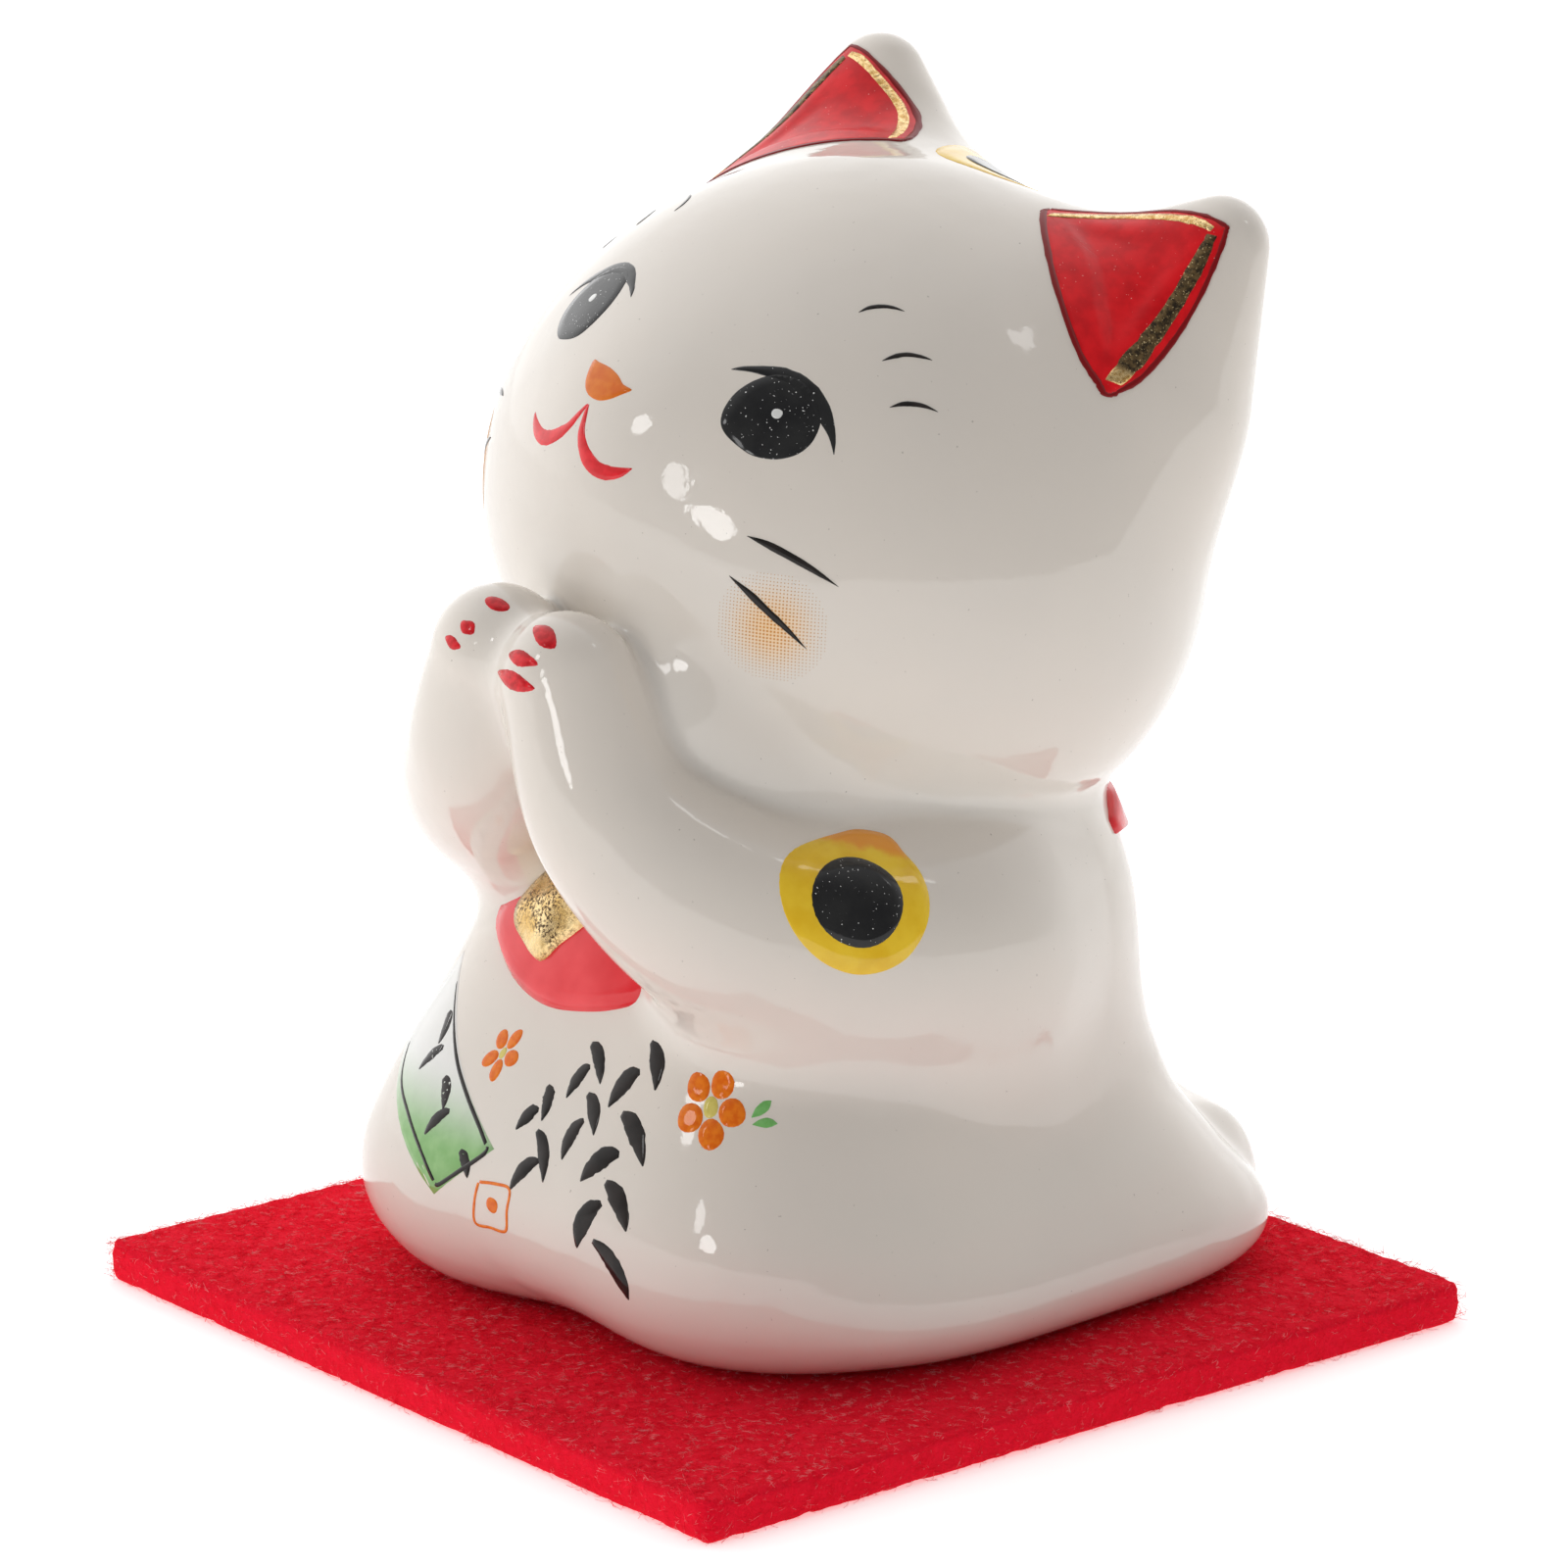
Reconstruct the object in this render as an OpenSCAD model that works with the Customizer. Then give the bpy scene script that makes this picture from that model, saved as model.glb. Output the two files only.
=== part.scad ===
// Beckoning cat figurine: a slip-cast ceramic cat on a square felt mat.
// Origin at the bottom centre of the mat, +Z up, the cat faces -Y, +X is the cat's left.

/* [Felt mat] */
// Side of the square mat
mat_side = 70; // [70:1:90]
// Thickness of the felt
mat_t = 3; // [2:0.5:5]
// Radius of the mat's corners
mat_corner = 1; // [0.5:0.5:3]

/* [Castings] */
// Turn of the figure on its mat, in degrees
cat_turn = 4; // [0:1:6]
// Thickness of the slip-cast wall
wall = 2.6; // [2:0.1:3.5]
// Diameter of the drain hole under the base
drain_d = 9; // [6:1:14]
// Diameter of the passage between the torso and the head
neck_d = 14; // [10:1:16]

/* [Head] */
// Half width of the head
head_rx = 27; // [26:0.1:28]
// Half depth of the head
head_ry = 24.7; // [24:0.1:26]
// Half height of the head
head_rz = 24.3; // [23.5:0.1:25.5]
// Upward tilt of the face, in degrees
head_pitch = 23; // [18:1:26]
// Sideways tilt of the head towards the cat's left, in degrees
head_roll = 12.5; // [8:0.5:16]
// Turn of the painted face on the head, in degrees
face_turn = -5; // [-8:1:0]
// Height of the muzzle swelling
muzzle_h = 1.5; // [0.5:0.1:2]

/* [Relief and enamel] */
// Thickness of the painted enamel
enamel_t = 0.14; // [0.1:0.02:0.2]
// Glaze line between the enamel and the body under it
glaze_gap = 0.04; // [0.03:0.01:0.06]
// Thickness of the bib relief
bib_t = 1.2; // [0.8:0.1:1.6]
// Thickness of the bell relief
bell_t = 0.9; // [0.5:0.1:1.2]
// Radius of each painted eye
eye_r = 3.4; // [3:0.1:3.8]
// Radius of the cheek blush
blush_r = 4; // [3:0.5:4.5]

/* [Hidden] */

glaze_white = "ivory";
enamel_red = "crimson";
enamel_black = [0.08, 0.08, 0.08];
gilt = "goldenrod";

// Torso: half width, front and back of the section at each height above the mat
torso_h = [0, 4, 9, 14, 22, 32, 46];
torso_w = [
    [26.2, -19.0, 32.2], [28.0, -24.0, 32.4], [26.6, -25.8, 28.2], [24.2, -24.6, 24.6],
    [21.2, -19.8, 22.6], [18.4, -14.5, 20.7], [14.5, -8.0, 17.0]
];
torso_power = 3.4;
torso_axis = [0, 4, 0];
foot_c = [11, -12.5, 5.5];
foot_r = [10.8, 10.2, 9];
edge_round = 2.5;

head_c = [0.6, 7.3, 56.1];
head_taper = [0.004, 0.006];
ear_base = [12.5, 3.8, 13.5];
ear_tip = [17.3, 3.2, 26.2];
ear_r = [11.8, 3.9];
ear_flat = 0.8;
muzzle_el = -6;
muzzle_r = 9;

// Arms: centre line and radius from the shoulder to the paw
left_path = [
    [13.5, 6.5, 27.6, 8.2], [17.4, -3, 28.4, 8.6], [13.3, -14.6, 30.9, 8.0],
    [7.4, -21.9, 38.3, 5.95], [3.5, -23.2, 48.1, 4.7]
];
right_path = [
    [-13.5, 5, 32, 7.8], [-16.6, -4, 34, 7.8], [-13, -14, 36.2, 7.3],
    [-6.8, -20.6, 41.5, 6.2], [-3.7, -23, 48.8, 4.7]
];

// Tail: centre line and radius
tail_path = [[-4, 21, 14, 3.4], [1, 27.5, 9.5, 4], [7.5, 29.6, 5.6, 4.2], [14, 28.6, 4.9, 4.2]];

// Places on the torso are [degrees round from the front, height above the mat]
degrees_per_mm = 2.1;
bib_at = [-3, 31];
bib_size = [20, 15.4];
bell_at = [-5, 29.6];
bell_size = [7.6, 8.4];
collar_at = [180, 34.4];
collar_sweep = 230;
collar_w = 2.8;
collar_t = 0.9;
large_flower_at = [30.7, 19.4];
small_flower_at = [-11.9, 19.1];
tag_at = [-24, 15.5];
tag_size = [15, 5.8];
tag_turn = -34;
seal_at = [-3.8, 9.7];
// First place, step down and number of strokes of each column
columns = [[17, 22, 3, 6], [8, 20.6, 2.8, 3], [0.5, 17.4, 2.8, 3]];

// Places on the head are in degrees, and a third number is the mark's turn
left_eye_at = [22.3, 9.3];
right_eye_at = [-29.5, 11];
lash_l = 1.7;
nose_at = [-7, 0.8];
mouth_at = [-7, -4.2];
whisker_at = [[40, -10, 4], [40, -18.5, -22]];
whisker_l = 6.6;
brow_at = [[33.5, 33.5, 38], [42, 27, 26], [47, 19.2, 12]];
brow_l = 3.4;
blush_at = [41, -20];
blush_t = 0.04;
// The prints on the right cheek sit a little further round than those on the left
right_cheek_slip = -4.5;
head_spot_at = [-130, 84];
ear_crown = [7.5, -2.9, 23.8];
ear_point = [18.3, 0.6, 27.4];
ear_low = [20.3, -5.9, 14.4];
// Hollows of the skin need more room under the coat than its round parts
hollow_gap = 0.15;
ear_gap = 0.4;
function over(lift) = lift + enamel_t + glaze_gap;

arm_spot_at = [48, 35];
arm_spot_d = 10.8;
left_claw_at = [[17, 55, 2.4], [-3, 28, 1.7], [-9, 7, 1.7]];
right_claw_at = [[40, 56, 1.7], [16, 32, 1.7], [2, 15, 1.7]];

// ---------------------------------------------------------------- fields

function blend(a, b, k) = let (h = max(k - abs(a - b), 0) / k) min(a, b) - h * h * k / 4;
function scaled(v, r) = [v.x / r.x, v.y / r.y, v.z / r.z];
function ellipsoid(p, r) =
    let (q = scaled(p, r), k0 = norm(q), k1 = norm(scaled(q, r))) k0 * (k0 - 1) / max(k1, 1e-6);

function round_cone(p, a, b, r1, r2) =
    let (
        l = norm(b - a), u = (b - a) / l, y = (p - a) * u, x = norm(p - a - y * u),
        s = (r1 - r2) / l, c = sqrt(1 - s * s), k = c * y - s * x
    )
    k < 0 ? norm([x, y]) - r1 : k > c * l ? norm([x, y - l]) - r2 : x * c + y * s - r1;

// Smooth value of a table at one height
function knot(z, hs, i = 0) = i > len(hs) - 3 || z < hs[i + 1] ? i : knot(z, hs, i + 1);
function slope(hs, vs, i) =
    let (a = max(i - 1, 0), b = min(i + 1, len(hs) - 1)) (vs[b] - vs[a]) / (hs[b] - hs[a]);
function smooth_at(z, hs, vs) =
    let (
        i = knot(z, hs), h = hs[i + 1] - hs[i], t = min(max((z - hs[i]) / h, 0), 1),
        m0 = slope(hs, vs, i) * h, m1 = slope(hs, vs, i + 1) * h, t2 = t * t, t3 = t2 * t
    )
    vs[i] * (2 * t3 - 3 * t2 + 1) + m0 * (t3 - 2 * t2 + t)
    + vs[i + 1] * (3 * t2 - 2 * t3) + m1 * (t3 - t2);

function torso_loft(p, inset) =
    let (
        w = smooth_at(p.z, torso_h, torso_w), a = w[0] - inset, yc = (w[1] + w[2]) / 2,
        b = (w[2] - w[1]) / 2 - inset,
        q = pow(pow(abs(p.x) / a, torso_power) + pow(abs(p.y - yc) / b, torso_power),
            1 / torso_power)
    )
    (q - 1) * min(a, b) * 0.77;
function torso_foot(p, s) = ellipsoid([s * p.x, p.y, p.z] - foot_c, foot_r);
function torso_field(p) =
    let (feet = min(torso_foot(p, 1), torso_foot(p, -1)))
    -blend(-blend(torso_loft(p, 0), feet, 4), p.z, edge_round);

// Head axes: local X to the cat's left, -Y out of the face, Z through the crown
function tilt(v) =
    let (
        c = cos(head_pitch), s = sin(head_pitch), d = cos(head_roll), e = sin(head_roll),
        y = v.y * c + v.z * s, z = v.z * c - v.y * s
    )
    [v.x * d + z * e, y, z * d - v.x * e];
function untilt(v) =
    let (
        c = cos(head_pitch), s = sin(head_pitch), d = cos(head_roll), e = sin(head_roll),
        x = v.x * d - v.z * e, z = v.z * d + v.x * e
    )
    [x, v.y * c - z * s, z * c + v.y * s];
function facing(az, el) = [sin(az) * cos(el), -cos(az) * cos(el), sin(el)];
function ear_field(h, s) =
    let (q = [s * h.x, (h.y - ear_base.y) / ear_flat + ear_base.y, h.z])
    round_cone(q, ear_base, ear_tip, ear_r[0], ear_r[1]) * ear_flat;
function head_local(h) =
    let (
        q = [h.x / (1 - head_taper.x * h.z), h.y / (1 - head_taper.y * h.z), h.z],
        skull = ellipsoid(q, [head_rx, head_ry, head_rz]) * 0.88,
        m = norm(h - head_ry * facing(face_turn, muzzle_el)) / muzzle_r,
        ears = min(ear_field(h, 1), ear_field(h, -1))
    )
    blend(skull, ears, 5) - muzzle_h * exp(-m * m);
function head_field(p) = head_local(untilt(p - head_c));

// Distance along a ray to the skin of a field
function reach(f, o, d, a, b, n = 13) =
    n == 0 ? (a + b) / 2
    : let (m = (a + b) / 2) f(o + d * m) < 0 ? reach(f, o, d, m, b, n - 1)
    : reach(f, o, d, a, m, n - 1);

// ---------------------------------------------------------------- meshes

// Closed mesh through stacked rings of points, capped at both ends
module rings(r) {
    n = len(r[0]);
    m = len(r);
    mid = function (q) [for (k = [0 : 2]) [for (v = q) v[k]] * [for (v = q) 1 / n]];
    points = concat([for (a = r) each a], [mid(r[0]), mid(r[m - 1])]);
    side = [
        for (i = [0 : m - 2], j = [0 : n - 1]) let (k = (j + 1) % n) each [
            [i * n + j, i * n + n + j, i * n + n + k],
            [i * n + j, i * n + n + k, i * n + k]
        ]
    ];
    low = [for (j = [0 : n - 1]) [j, (j + 1) % n, n * m]];
    high = [for (j = [0 : n - 1]) [n * (m - 1) + (j + 1) % n, n * (m - 1) + j, n * m + 1]];
    polyhedron(points, concat(side, low, high), convexity = 4);
}

// Mesh booleans between castings are done on the triangles
module as_mesh() resize([0, 0, 0]) children();

module in_place() translate([0, 0, mat_t]) rotate(cat_turn) children();

torso_levels = [0.02, 0.3, 0.8, 1.6, 2.8, 4.5, 6.5, 9, 12, 15, 18, 21.5, 25, 29, 33, 38, 44];
module torso_solid() rings([
    for (z = torso_levels) let (o = [torso_axis.x, torso_axis.y, z]) [
        for (a = [0 : 7.5 : 359]) let (d = [cos(a), sin(a), 0])
            [o.x, o.y, z < 0.1 ? 0 : z] + d * reach(function (p) torso_field(p), o, d, 8, 40)
    ]
]);

module torso_cavity() rings([
    for (z = [wall : 4.5 : 44]) [
        for (a = [0 : 15 : 359]) let (d = [cos(a), sin(a), 0], o = torso_axis + [0, 0, z])
            o + d * reach(function (p) torso_loft(p, wall + 1.2), o, d, 3, 40)
    ]
]);

module head_solid() rings([
    for (el = [-87 : 6 : 87]) [
        for (az = [0 : 7.5 : 359]) let (d = tilt(facing(az, el)))
            head_c + d * reach(function (p) head_field(p), head_c, d, 15, 40)
    ]
]);
module head_cavity() translate(head_c) rotate([0, head_roll, 0]) rotate([-head_pitch, 0, 0])
    resize([2 * (head_rx - wall - 1), 2 * (head_ry - wall - 1), 2 * (head_rz - wall - 1)])
    sphere(10, $fn = 32);

// Tube along a smooth path of [x, y, z, radius], closed by two domes
function along(path, t) = smooth_at(t, [for (i = [0 : len(path) - 1]) i], path);
function place(v) = [v.x, v.y, v.z];
module tube(path, steps = 14, around = 20) {
    last = len(path) - 1;
    ring = function (c, u, r) let (a = cross(u, [1, 0, 0]), b = a / norm(a), e = cross(u, b))
        [for (k = [0 : around - 1]) c + r * (b * cos(k * 360 / around) + e * sin(k * 360 / around))];
    dir = function (t) let (d = place(along(path, t + 0.02) - along(path, t - 0.02))) d / norm(d);
    u0 = dir(0.03);
    u1 = dir(last - 0.03);
    rings(concat(
        [for (k = [4 : -1 : 1]) let (r = path[0][3])
            ring(place(path[0]) - u0 * r * sin(k * 20), u0, r * cos(k * 20))],
        [for (k = [0 : steps]) let (t = k * last / steps, c = along(path, t))
            ring(place(c), dir(min(max(t, 0.03), last - 0.03)), c[3])],
        [for (k = [1 : 4]) let (r = path[last][3])
            ring(place(path[last]) + u1 * r * sin(k * 20), u1, r * cos(k * 20))]
    ));
}

// Closed thin shell between two heights over the skin, on a grid of [u, v] in millimetres
module painted(skin, grid, lift = glaze_gap, t = enamel_t) {
    n = len(grid);
    m = len(grid[0]);
    points = [for (l = [lift, lift + t], row = grid, c = row) skin(c.x, c.y, l)];
    at = function (l, i, j) (l * n + i) * m + j;
    wall_of = function (a, b) [[a, b, b + n * m], [a, b + n * m, a + n * m]];
    faces = [
        for (i = [0 : n - 2], j = [0 : m - 2]) let (
            a = at(0, i, j), b = at(0, i + 1, j), c = at(0, i + 1, j + 1), d = at(0, i, j + 1),
            k = n * m
        ) each [[a, b, c], [a, c, d], [c + k, b + k, a + k], [d + k, c + k, a + k]],
        for (i = [0 : n - 2]) each concat(
            wall_of(at(0, i + 1, 0), at(0, i, 0)), wall_of(at(0, i, m - 1), at(0, i + 1, m - 1))),
        for (j = [0 : m - 2]) each concat(
            wall_of(at(0, 0, j), at(0, 0, j + 1)), wall_of(at(0, n - 1, j + 1), at(0, n - 1, j)))
    ];
    polyhedron(points, faces, convexity = 4);
}

// Direction through a point u, v on the tangent plane at a centre given in degrees
function aim(c, u, v, r) = let (
        e = [cos(c.x), sin(c.x), 0],
        f = [-sin(c.x) * sin(c.y), cos(c.x) * sin(c.y), cos(c.y)],
        q = r * facing(c.x, c.y) + u * e + v * f
    ) q / norm(q);

// A skin turns [u, v] round a centre and a lift into a point over one casting
function head_skin(c) = function (u, v, l) let (d = tilt(aim(c, u, v, head_ry)))
    head_c + d * (reach(function (p) head_field(p), head_c, d, 15, 42) + l);
function torso_skin(c) = function (u, v, l) let (
        a = c.x + u * degrees_per_mm, d = [sin(a), -cos(a), 0], o = torso_axis + [0, 0, c.y + v]
    ) o + d * (reach(function (p) torso_field(p), o, d, 8, 40) + l);
function tube_field(p, path, ts) =
    min([for (t = ts) let (c = along(path, t)) norm(p - place(c)) - c[3]]);
function tube_skin(c, path, t, ts) = function (u, v, l) let (
        o = along(path, t), d = aim(c, u, v, o[3])
    ) place(o) + d * (reach(function (p) tube_field(p, path, ts), place(o), d, 1, 16) + l);
// The ear's skin runs 0 to 1 from the crown to the tip, then 0 to 1 down to the cheek
function ear_skin(s) = function (u, v, l) let (
        q = (ear_crown * (1 - u) + ear_point * u) * (1 - v) + ear_low * v,
        d = tilt([s * q.x, q.y, q.z] / norm(q))
    ) head_c + d * (reach(function (p) head_field(p), head_c, d, 15, 42) + l);

// Grid of a brush mark; power 0 is a panel, 0.5 an ellipse and 1 a leaf
function mark(long, wide, turn = 0, bow = 0, power = 0.5, at = [0, 0], n = 6, m = 2) = [
    for (i = [0 : n]) let (s = 2 * i / n - 1, w = wide / 2 * max(pow(1 - s * s, power), 0.04)) [
        for (j = [0 : m]) let (x = s * long / 2, y = bow * (1 - s * s) + w * (2 * j / m - 1))
            at + [x * cos(turn) - y * sin(turn), x * sin(turn) + y * cos(turn)]
    ]
];
function ear_grid(u0, u1, v0, v1, n = 5, m = 5) =
    [for (i = [0 : n]) [for (j = [0 : m]) [u0 + (u1 - u0) * i / n, v0 + (v1 - v0) * j / m]]];
// A place on the painted face, in degrees from its middle
function face(x, y) = [face_turn + x + (x < 0 ? right_cheek_slip : 0), y];

// ---------------------------------------------------------------- castings

module felt_mat() color(enamel_red) linear_extrude(mat_t) {
    r = mat_corner;
    for (turn = [0, 90]) rotate(turn) square([mat_side, mat_side - 2 * r], center = true);
    for (x = [-1, 1], y = [-1, 1]) translate([x, y] * (mat_side / 2 - r)) circle(r, $fn = 32);
}

module torso() color(glaze_white) in_place() as_mesh() difference() {
    torso_solid();
    torso_cavity();
    head_solid();
    translate(torso_axis - [0, 0, 1]) cylinder(d = drain_d, h = wall + 3, $fn = 32);
}

module head() color(glaze_white) in_place() as_mesh() difference() {
    head_solid();
    head_cavity();
    translate(torso_axis + [0, 4, 24]) cylinder(d = neck_d, h = 22, $fn = 32);
}

module left_arm() color(glaze_white) in_place() as_mesh() difference() {
    tube(left_path);
    torso_solid();
    head_solid();
}

module right_arm() color(glaze_white) in_place() as_mesh() difference() {
    tube(right_path);
    torso_solid();
    head_solid();
    tube(left_path);
}

module tail() color(glaze_white) in_place() as_mesh() difference() {
    tube(tail_path, 10, 16);
    torso_solid();
}

// ---------------------------------------------------------------- bib, bell and collar

module under_the_arms() in_place() as_mesh() difference() {
    children();
    head_solid();
    tube(left_path);
    tube(right_path);
}

module bib() color(enamel_red) under_the_arms()
    painted(torso_skin(bib_at), mark(bib_size.y, bib_size.x, 90, n = 12, m = 8), t = bib_t);

module bell() color(gilt) under_the_arms()
    painted(torso_skin(bell_at), mark(bell_size.y, bell_size.x, 90, power = 0.8, n = 8, m = 6),
        2 * glaze_gap + bib_t, bell_t);

module collar() color(enamel_red) under_the_arms()
    painted(torso_skin(collar_at), [
        for (a = [-collar_sweep / 2 : 10 : collar_sweep / 2])
            [for (v = [-1, 0, 1]) [a / degrees_per_mm, v * collar_w / 2]]
    ], hollow_gap, collar_t);

// ---------------------------------------------------------------- enamel on the head

module ear_lining(s) color(enamel_red) in_place()
    painted(ear_skin(s), ear_grid(0, 1, 0, 0.96), ear_gap);
module ear_gilding(s) color(gilt) in_place() {
    painted(ear_skin(s), ear_grid(0.03, 0.84, 0.04, 0.09, m = 1), over(ear_gap));
    painted(ear_skin(s), ear_grid(0.86, 0.96, 0.04, 0.94, n = 1), over(ear_gap));
}
module left_ear_lining() ear_lining(1);
module right_ear_lining() ear_lining(-1);
module left_ear_gilding() ear_gilding(1);
module right_ear_gilding() ear_gilding(-1);

module eye(s, c) color(enamel_black) in_place() {
    painted(head_skin(c), mark(2 * eye_r, 2 * eye_r, n = 10, m = 4));
    for (a = [130, -20]) let (r = eye_r + lash_l / 2 + 0.1)
        painted(head_skin(c), mark(lash_l, 0.5, s > 0 ? a : 180 - a, power = 1,
            at = [s * r * cos(a), r * sin(a)]));
}
module left_eye() eye(1, left_eye_at);
module right_eye() eye(-1, right_eye_at);

module nose() color("darkorange") in_place() painted(head_skin(nose_at), mark(2.9, 2.4));

module mouth() color(enamel_red) in_place() for (s = [-1, 1])
    painted(head_skin(mouth_at), mark(6, 0.9, s * -8, -2, 1, [s * 3.1, -0.9], 8));

module whiskers(s) color(enamel_black) in_place() for (w = whisker_at)
    painted(head_skin(face(s * w.x, w.y)), mark(whisker_l, 0.45, s * w.z, power = 1),
        2 * glaze_gap + blush_t);
module left_whiskers() whiskers(1);
module right_whiskers() whiskers(-1);

module brow_marks(s) color(enamel_black) in_place() for (b = brow_at)
    painted(head_skin(face(s * b.x, b.y)), mark(brow_l, 0.35, s * b.z, s * 0.3, 1));
module left_brow_marks() brow_marks(1);
module right_brow_marks() brow_marks(-1);

// The printed blush lies under the whiskers
module cheek_blush(s) color("sandybrown") in_place()
    painted(head_skin(face(s * blush_at.x, blush_at.y)),
        mark(2 * blush_r, 2 * blush_r, n = 10, m = 4), t = blush_t);
module left_cheek_blush() cheek_blush(1);
module right_cheek_blush() cheek_blush(-1);

module head_spot() color("gold") in_place()
    painted(head_skin(head_spot_at), mark(10.4, 8.6, 20, n = 10, m = 4), hollow_gap);
module head_spot_centre() color(enamel_black) in_place()
    painted(head_skin(head_spot_at), mark(5.6, 4.6, 20), over(hollow_gap));

// ---------------------------------------------------------------- enamel on the arms

module claws(path, at) color(enamel_red) in_place() for (c = at)
    painted(tube_skin(c, path, 4, [for (k = [0 : 8]) 4 - k / 10]),
        mark(c[2], c[2] * 0.6, 20, n = 6));
module left_claws() claws(left_path, left_claw_at);
module right_claws() claws(right_path, right_claw_at);

module arm_spot() color("gold") in_place()
    painted(tube_skin(arm_spot_at, left_path, 1.4, [0.4 : 0.1 : 2.6]),
        mark(arm_spot_d, arm_spot_d, 90, n = 12, m = 7));
module arm_spot_centre() color(enamel_black) in_place()
    painted(tube_skin(arm_spot_at, left_path, 1.4, [0.4 : 0.1 : 2.6]),
        mark(arm_spot_d * 0.58, arm_spot_d * 0.58, 90, n = 8, m = 5), over(glaze_gap));

// ---------------------------------------------------------------- enamel on the torso

module petals(at, ring_r, petal) for (a = [90 : 72 : 449])
    painted(torso_skin(at), mark(petal.x, petal.y, a, at = ring_r * [cos(a), sin(a)], n = 6));
module large_flower() color("darkorange") in_place() petals(large_flower_at, 1.75, [2, 1.8]);
module large_flower_centre() color("khaki") in_place()
    painted(torso_skin(large_flower_at), mark(1.2, 1.2, n = 6));
module flower_leaves() color("seagreen") in_place() for (y = [-0.55, 0.55])
    painted(torso_skin(large_flower_at), mark(1.9, 0.8, 28, power = 1, at = [3.9, y], n = 6));
module small_flower() color("darkorange") in_place() petals(small_flower_at, 1.05, [1.25, 0.95]);
module small_flower_centre() color("khaki") in_place()
    painted(torso_skin(small_flower_at), mark(0.75, 0.75, n = 6));

module tag_panel() color("darkseagreen") in_place()
    painted(torso_skin(tag_at), mark(tag_size.x, tag_size.y, tag_turn, power = 0, m = 4),
        hollow_gap);

// Rectangular outline drawn with four strips
module outline(at, size, turn, line, lift = glaze_gap) {
    x = size.x - line;
    y = size.y - line;
    for (q = [[0, y / 2, 0], [0, -y / 2, 0], [x / 2, 0, 90], [-x / 2, 0, 90]])
        let (l = q.z == 0 ? size.x : y - line * 1.2, c = cos(turn), s = sin(turn))
        painted(torso_skin(at), mark(l, line, turn + q.z, power = 0, m = 1,
            at = [q.x * c - q.y * s, q.x * s + q.y * c]), lift);
}
module tag_outline() color(enamel_black) in_place()
    outline(tag_at, tag_size - [0.5, 0.5], tag_turn, 0.3, over(hollow_gap));

module seal() color("darkorange") in_place() {
    outline(seal_at, [2.7, 3.1], 0, 0.28);
    painted(torso_skin(seal_at), mark(1.1, 1.1, n = 6));
}

// Three columns of falling brush strokes, each stroke turned against the one above
module brush_strokes() color(enamel_black) in_place() for (c = columns)
    for (k = [0 : c[3] - 1])
        painted(torso_skin([c[0], c[1] - k * c[2]]),
            mark(2.2, 0.7, k % 2 == 0 ? -50 : 200, 0.25, 1, n = 6));

felt_mat();
torso();
head();
left_arm();
right_arm();
tail();
bib();
bell();
collar();
left_ear_lining();
right_ear_lining();
left_ear_gilding();
right_ear_gilding();
left_eye();
right_eye();
nose();
mouth();
left_whiskers();
right_whiskers();
left_brow_marks();
right_brow_marks();
left_cheek_blush();
right_cheek_blush();
left_claws();
right_claws();
arm_spot();
arm_spot_centre();
head_spot();
head_spot_centre();
large_flower();
large_flower_centre();
flower_leaves();
small_flower();
small_flower_centre();
tag_panel();
tag_outline();
seal();
brush_strokes();
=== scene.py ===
import math

import bpy
import numpy as np
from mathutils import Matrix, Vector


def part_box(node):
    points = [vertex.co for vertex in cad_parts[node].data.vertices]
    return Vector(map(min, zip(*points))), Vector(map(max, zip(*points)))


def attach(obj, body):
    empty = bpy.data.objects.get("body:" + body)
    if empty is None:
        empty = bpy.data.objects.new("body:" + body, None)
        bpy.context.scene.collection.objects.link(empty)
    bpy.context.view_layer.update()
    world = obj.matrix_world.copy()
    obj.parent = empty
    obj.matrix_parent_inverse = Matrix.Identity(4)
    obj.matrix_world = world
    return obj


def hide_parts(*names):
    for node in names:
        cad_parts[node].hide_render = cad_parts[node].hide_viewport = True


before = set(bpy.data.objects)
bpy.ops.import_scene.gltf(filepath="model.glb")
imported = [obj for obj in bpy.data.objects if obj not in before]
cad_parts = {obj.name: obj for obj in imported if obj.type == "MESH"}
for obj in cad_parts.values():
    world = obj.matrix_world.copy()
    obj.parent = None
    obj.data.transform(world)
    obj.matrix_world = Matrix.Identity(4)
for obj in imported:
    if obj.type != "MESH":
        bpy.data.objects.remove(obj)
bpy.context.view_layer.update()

import openvdb
from mathutils import Vector

MM = 0.001
MAT_LOW, MAT_HIGH = (np.array(c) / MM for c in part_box("felt_mat"))
MAT_SIDE = MAT_HIGH[0] - MAT_LOW[0]
MAT_T = MAT_HIGH[2] - MAT_LOW[2]
CAT_TURN = math.radians(4)
BODY = "figurine"

# --- camera, lights and floor

# Direction in degrees, then metres: the aim is across and up from the middle of the mat's top
CAMERA_FROM = (50.5, 15.1)
CAMERA_DISTANCE, CAMERA_LENS = 0.504, 159.75
CAMERA_AT = (0.00035, 0.0345)
# Name, direction in degrees, size in metres and power
SOFTBOXES = (
    ("key_low", 13, 11, (0.11, 0.13), 0.27),
    ("key_high", 6.5, 21, (0.07, 0.16), 0.15),
    ("fill", -13, 38.5, (0.09, 0.09), 0.13),
    ("kicker", 138, 53, (0.06, 0.11), 0.045),
)
LIGHT_DISTANCE, LIGHT_AIM = 0.7, 0.045
TENT_DIM, TENT_BRIGHT = 0.26, 1.5
TENT_DIM_SIDE, TENT_EDGE = (62, 0), (-0.6, 0.5)
FLOOR_SIDE, FLOOR_LINES = 4.0, 9


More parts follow.
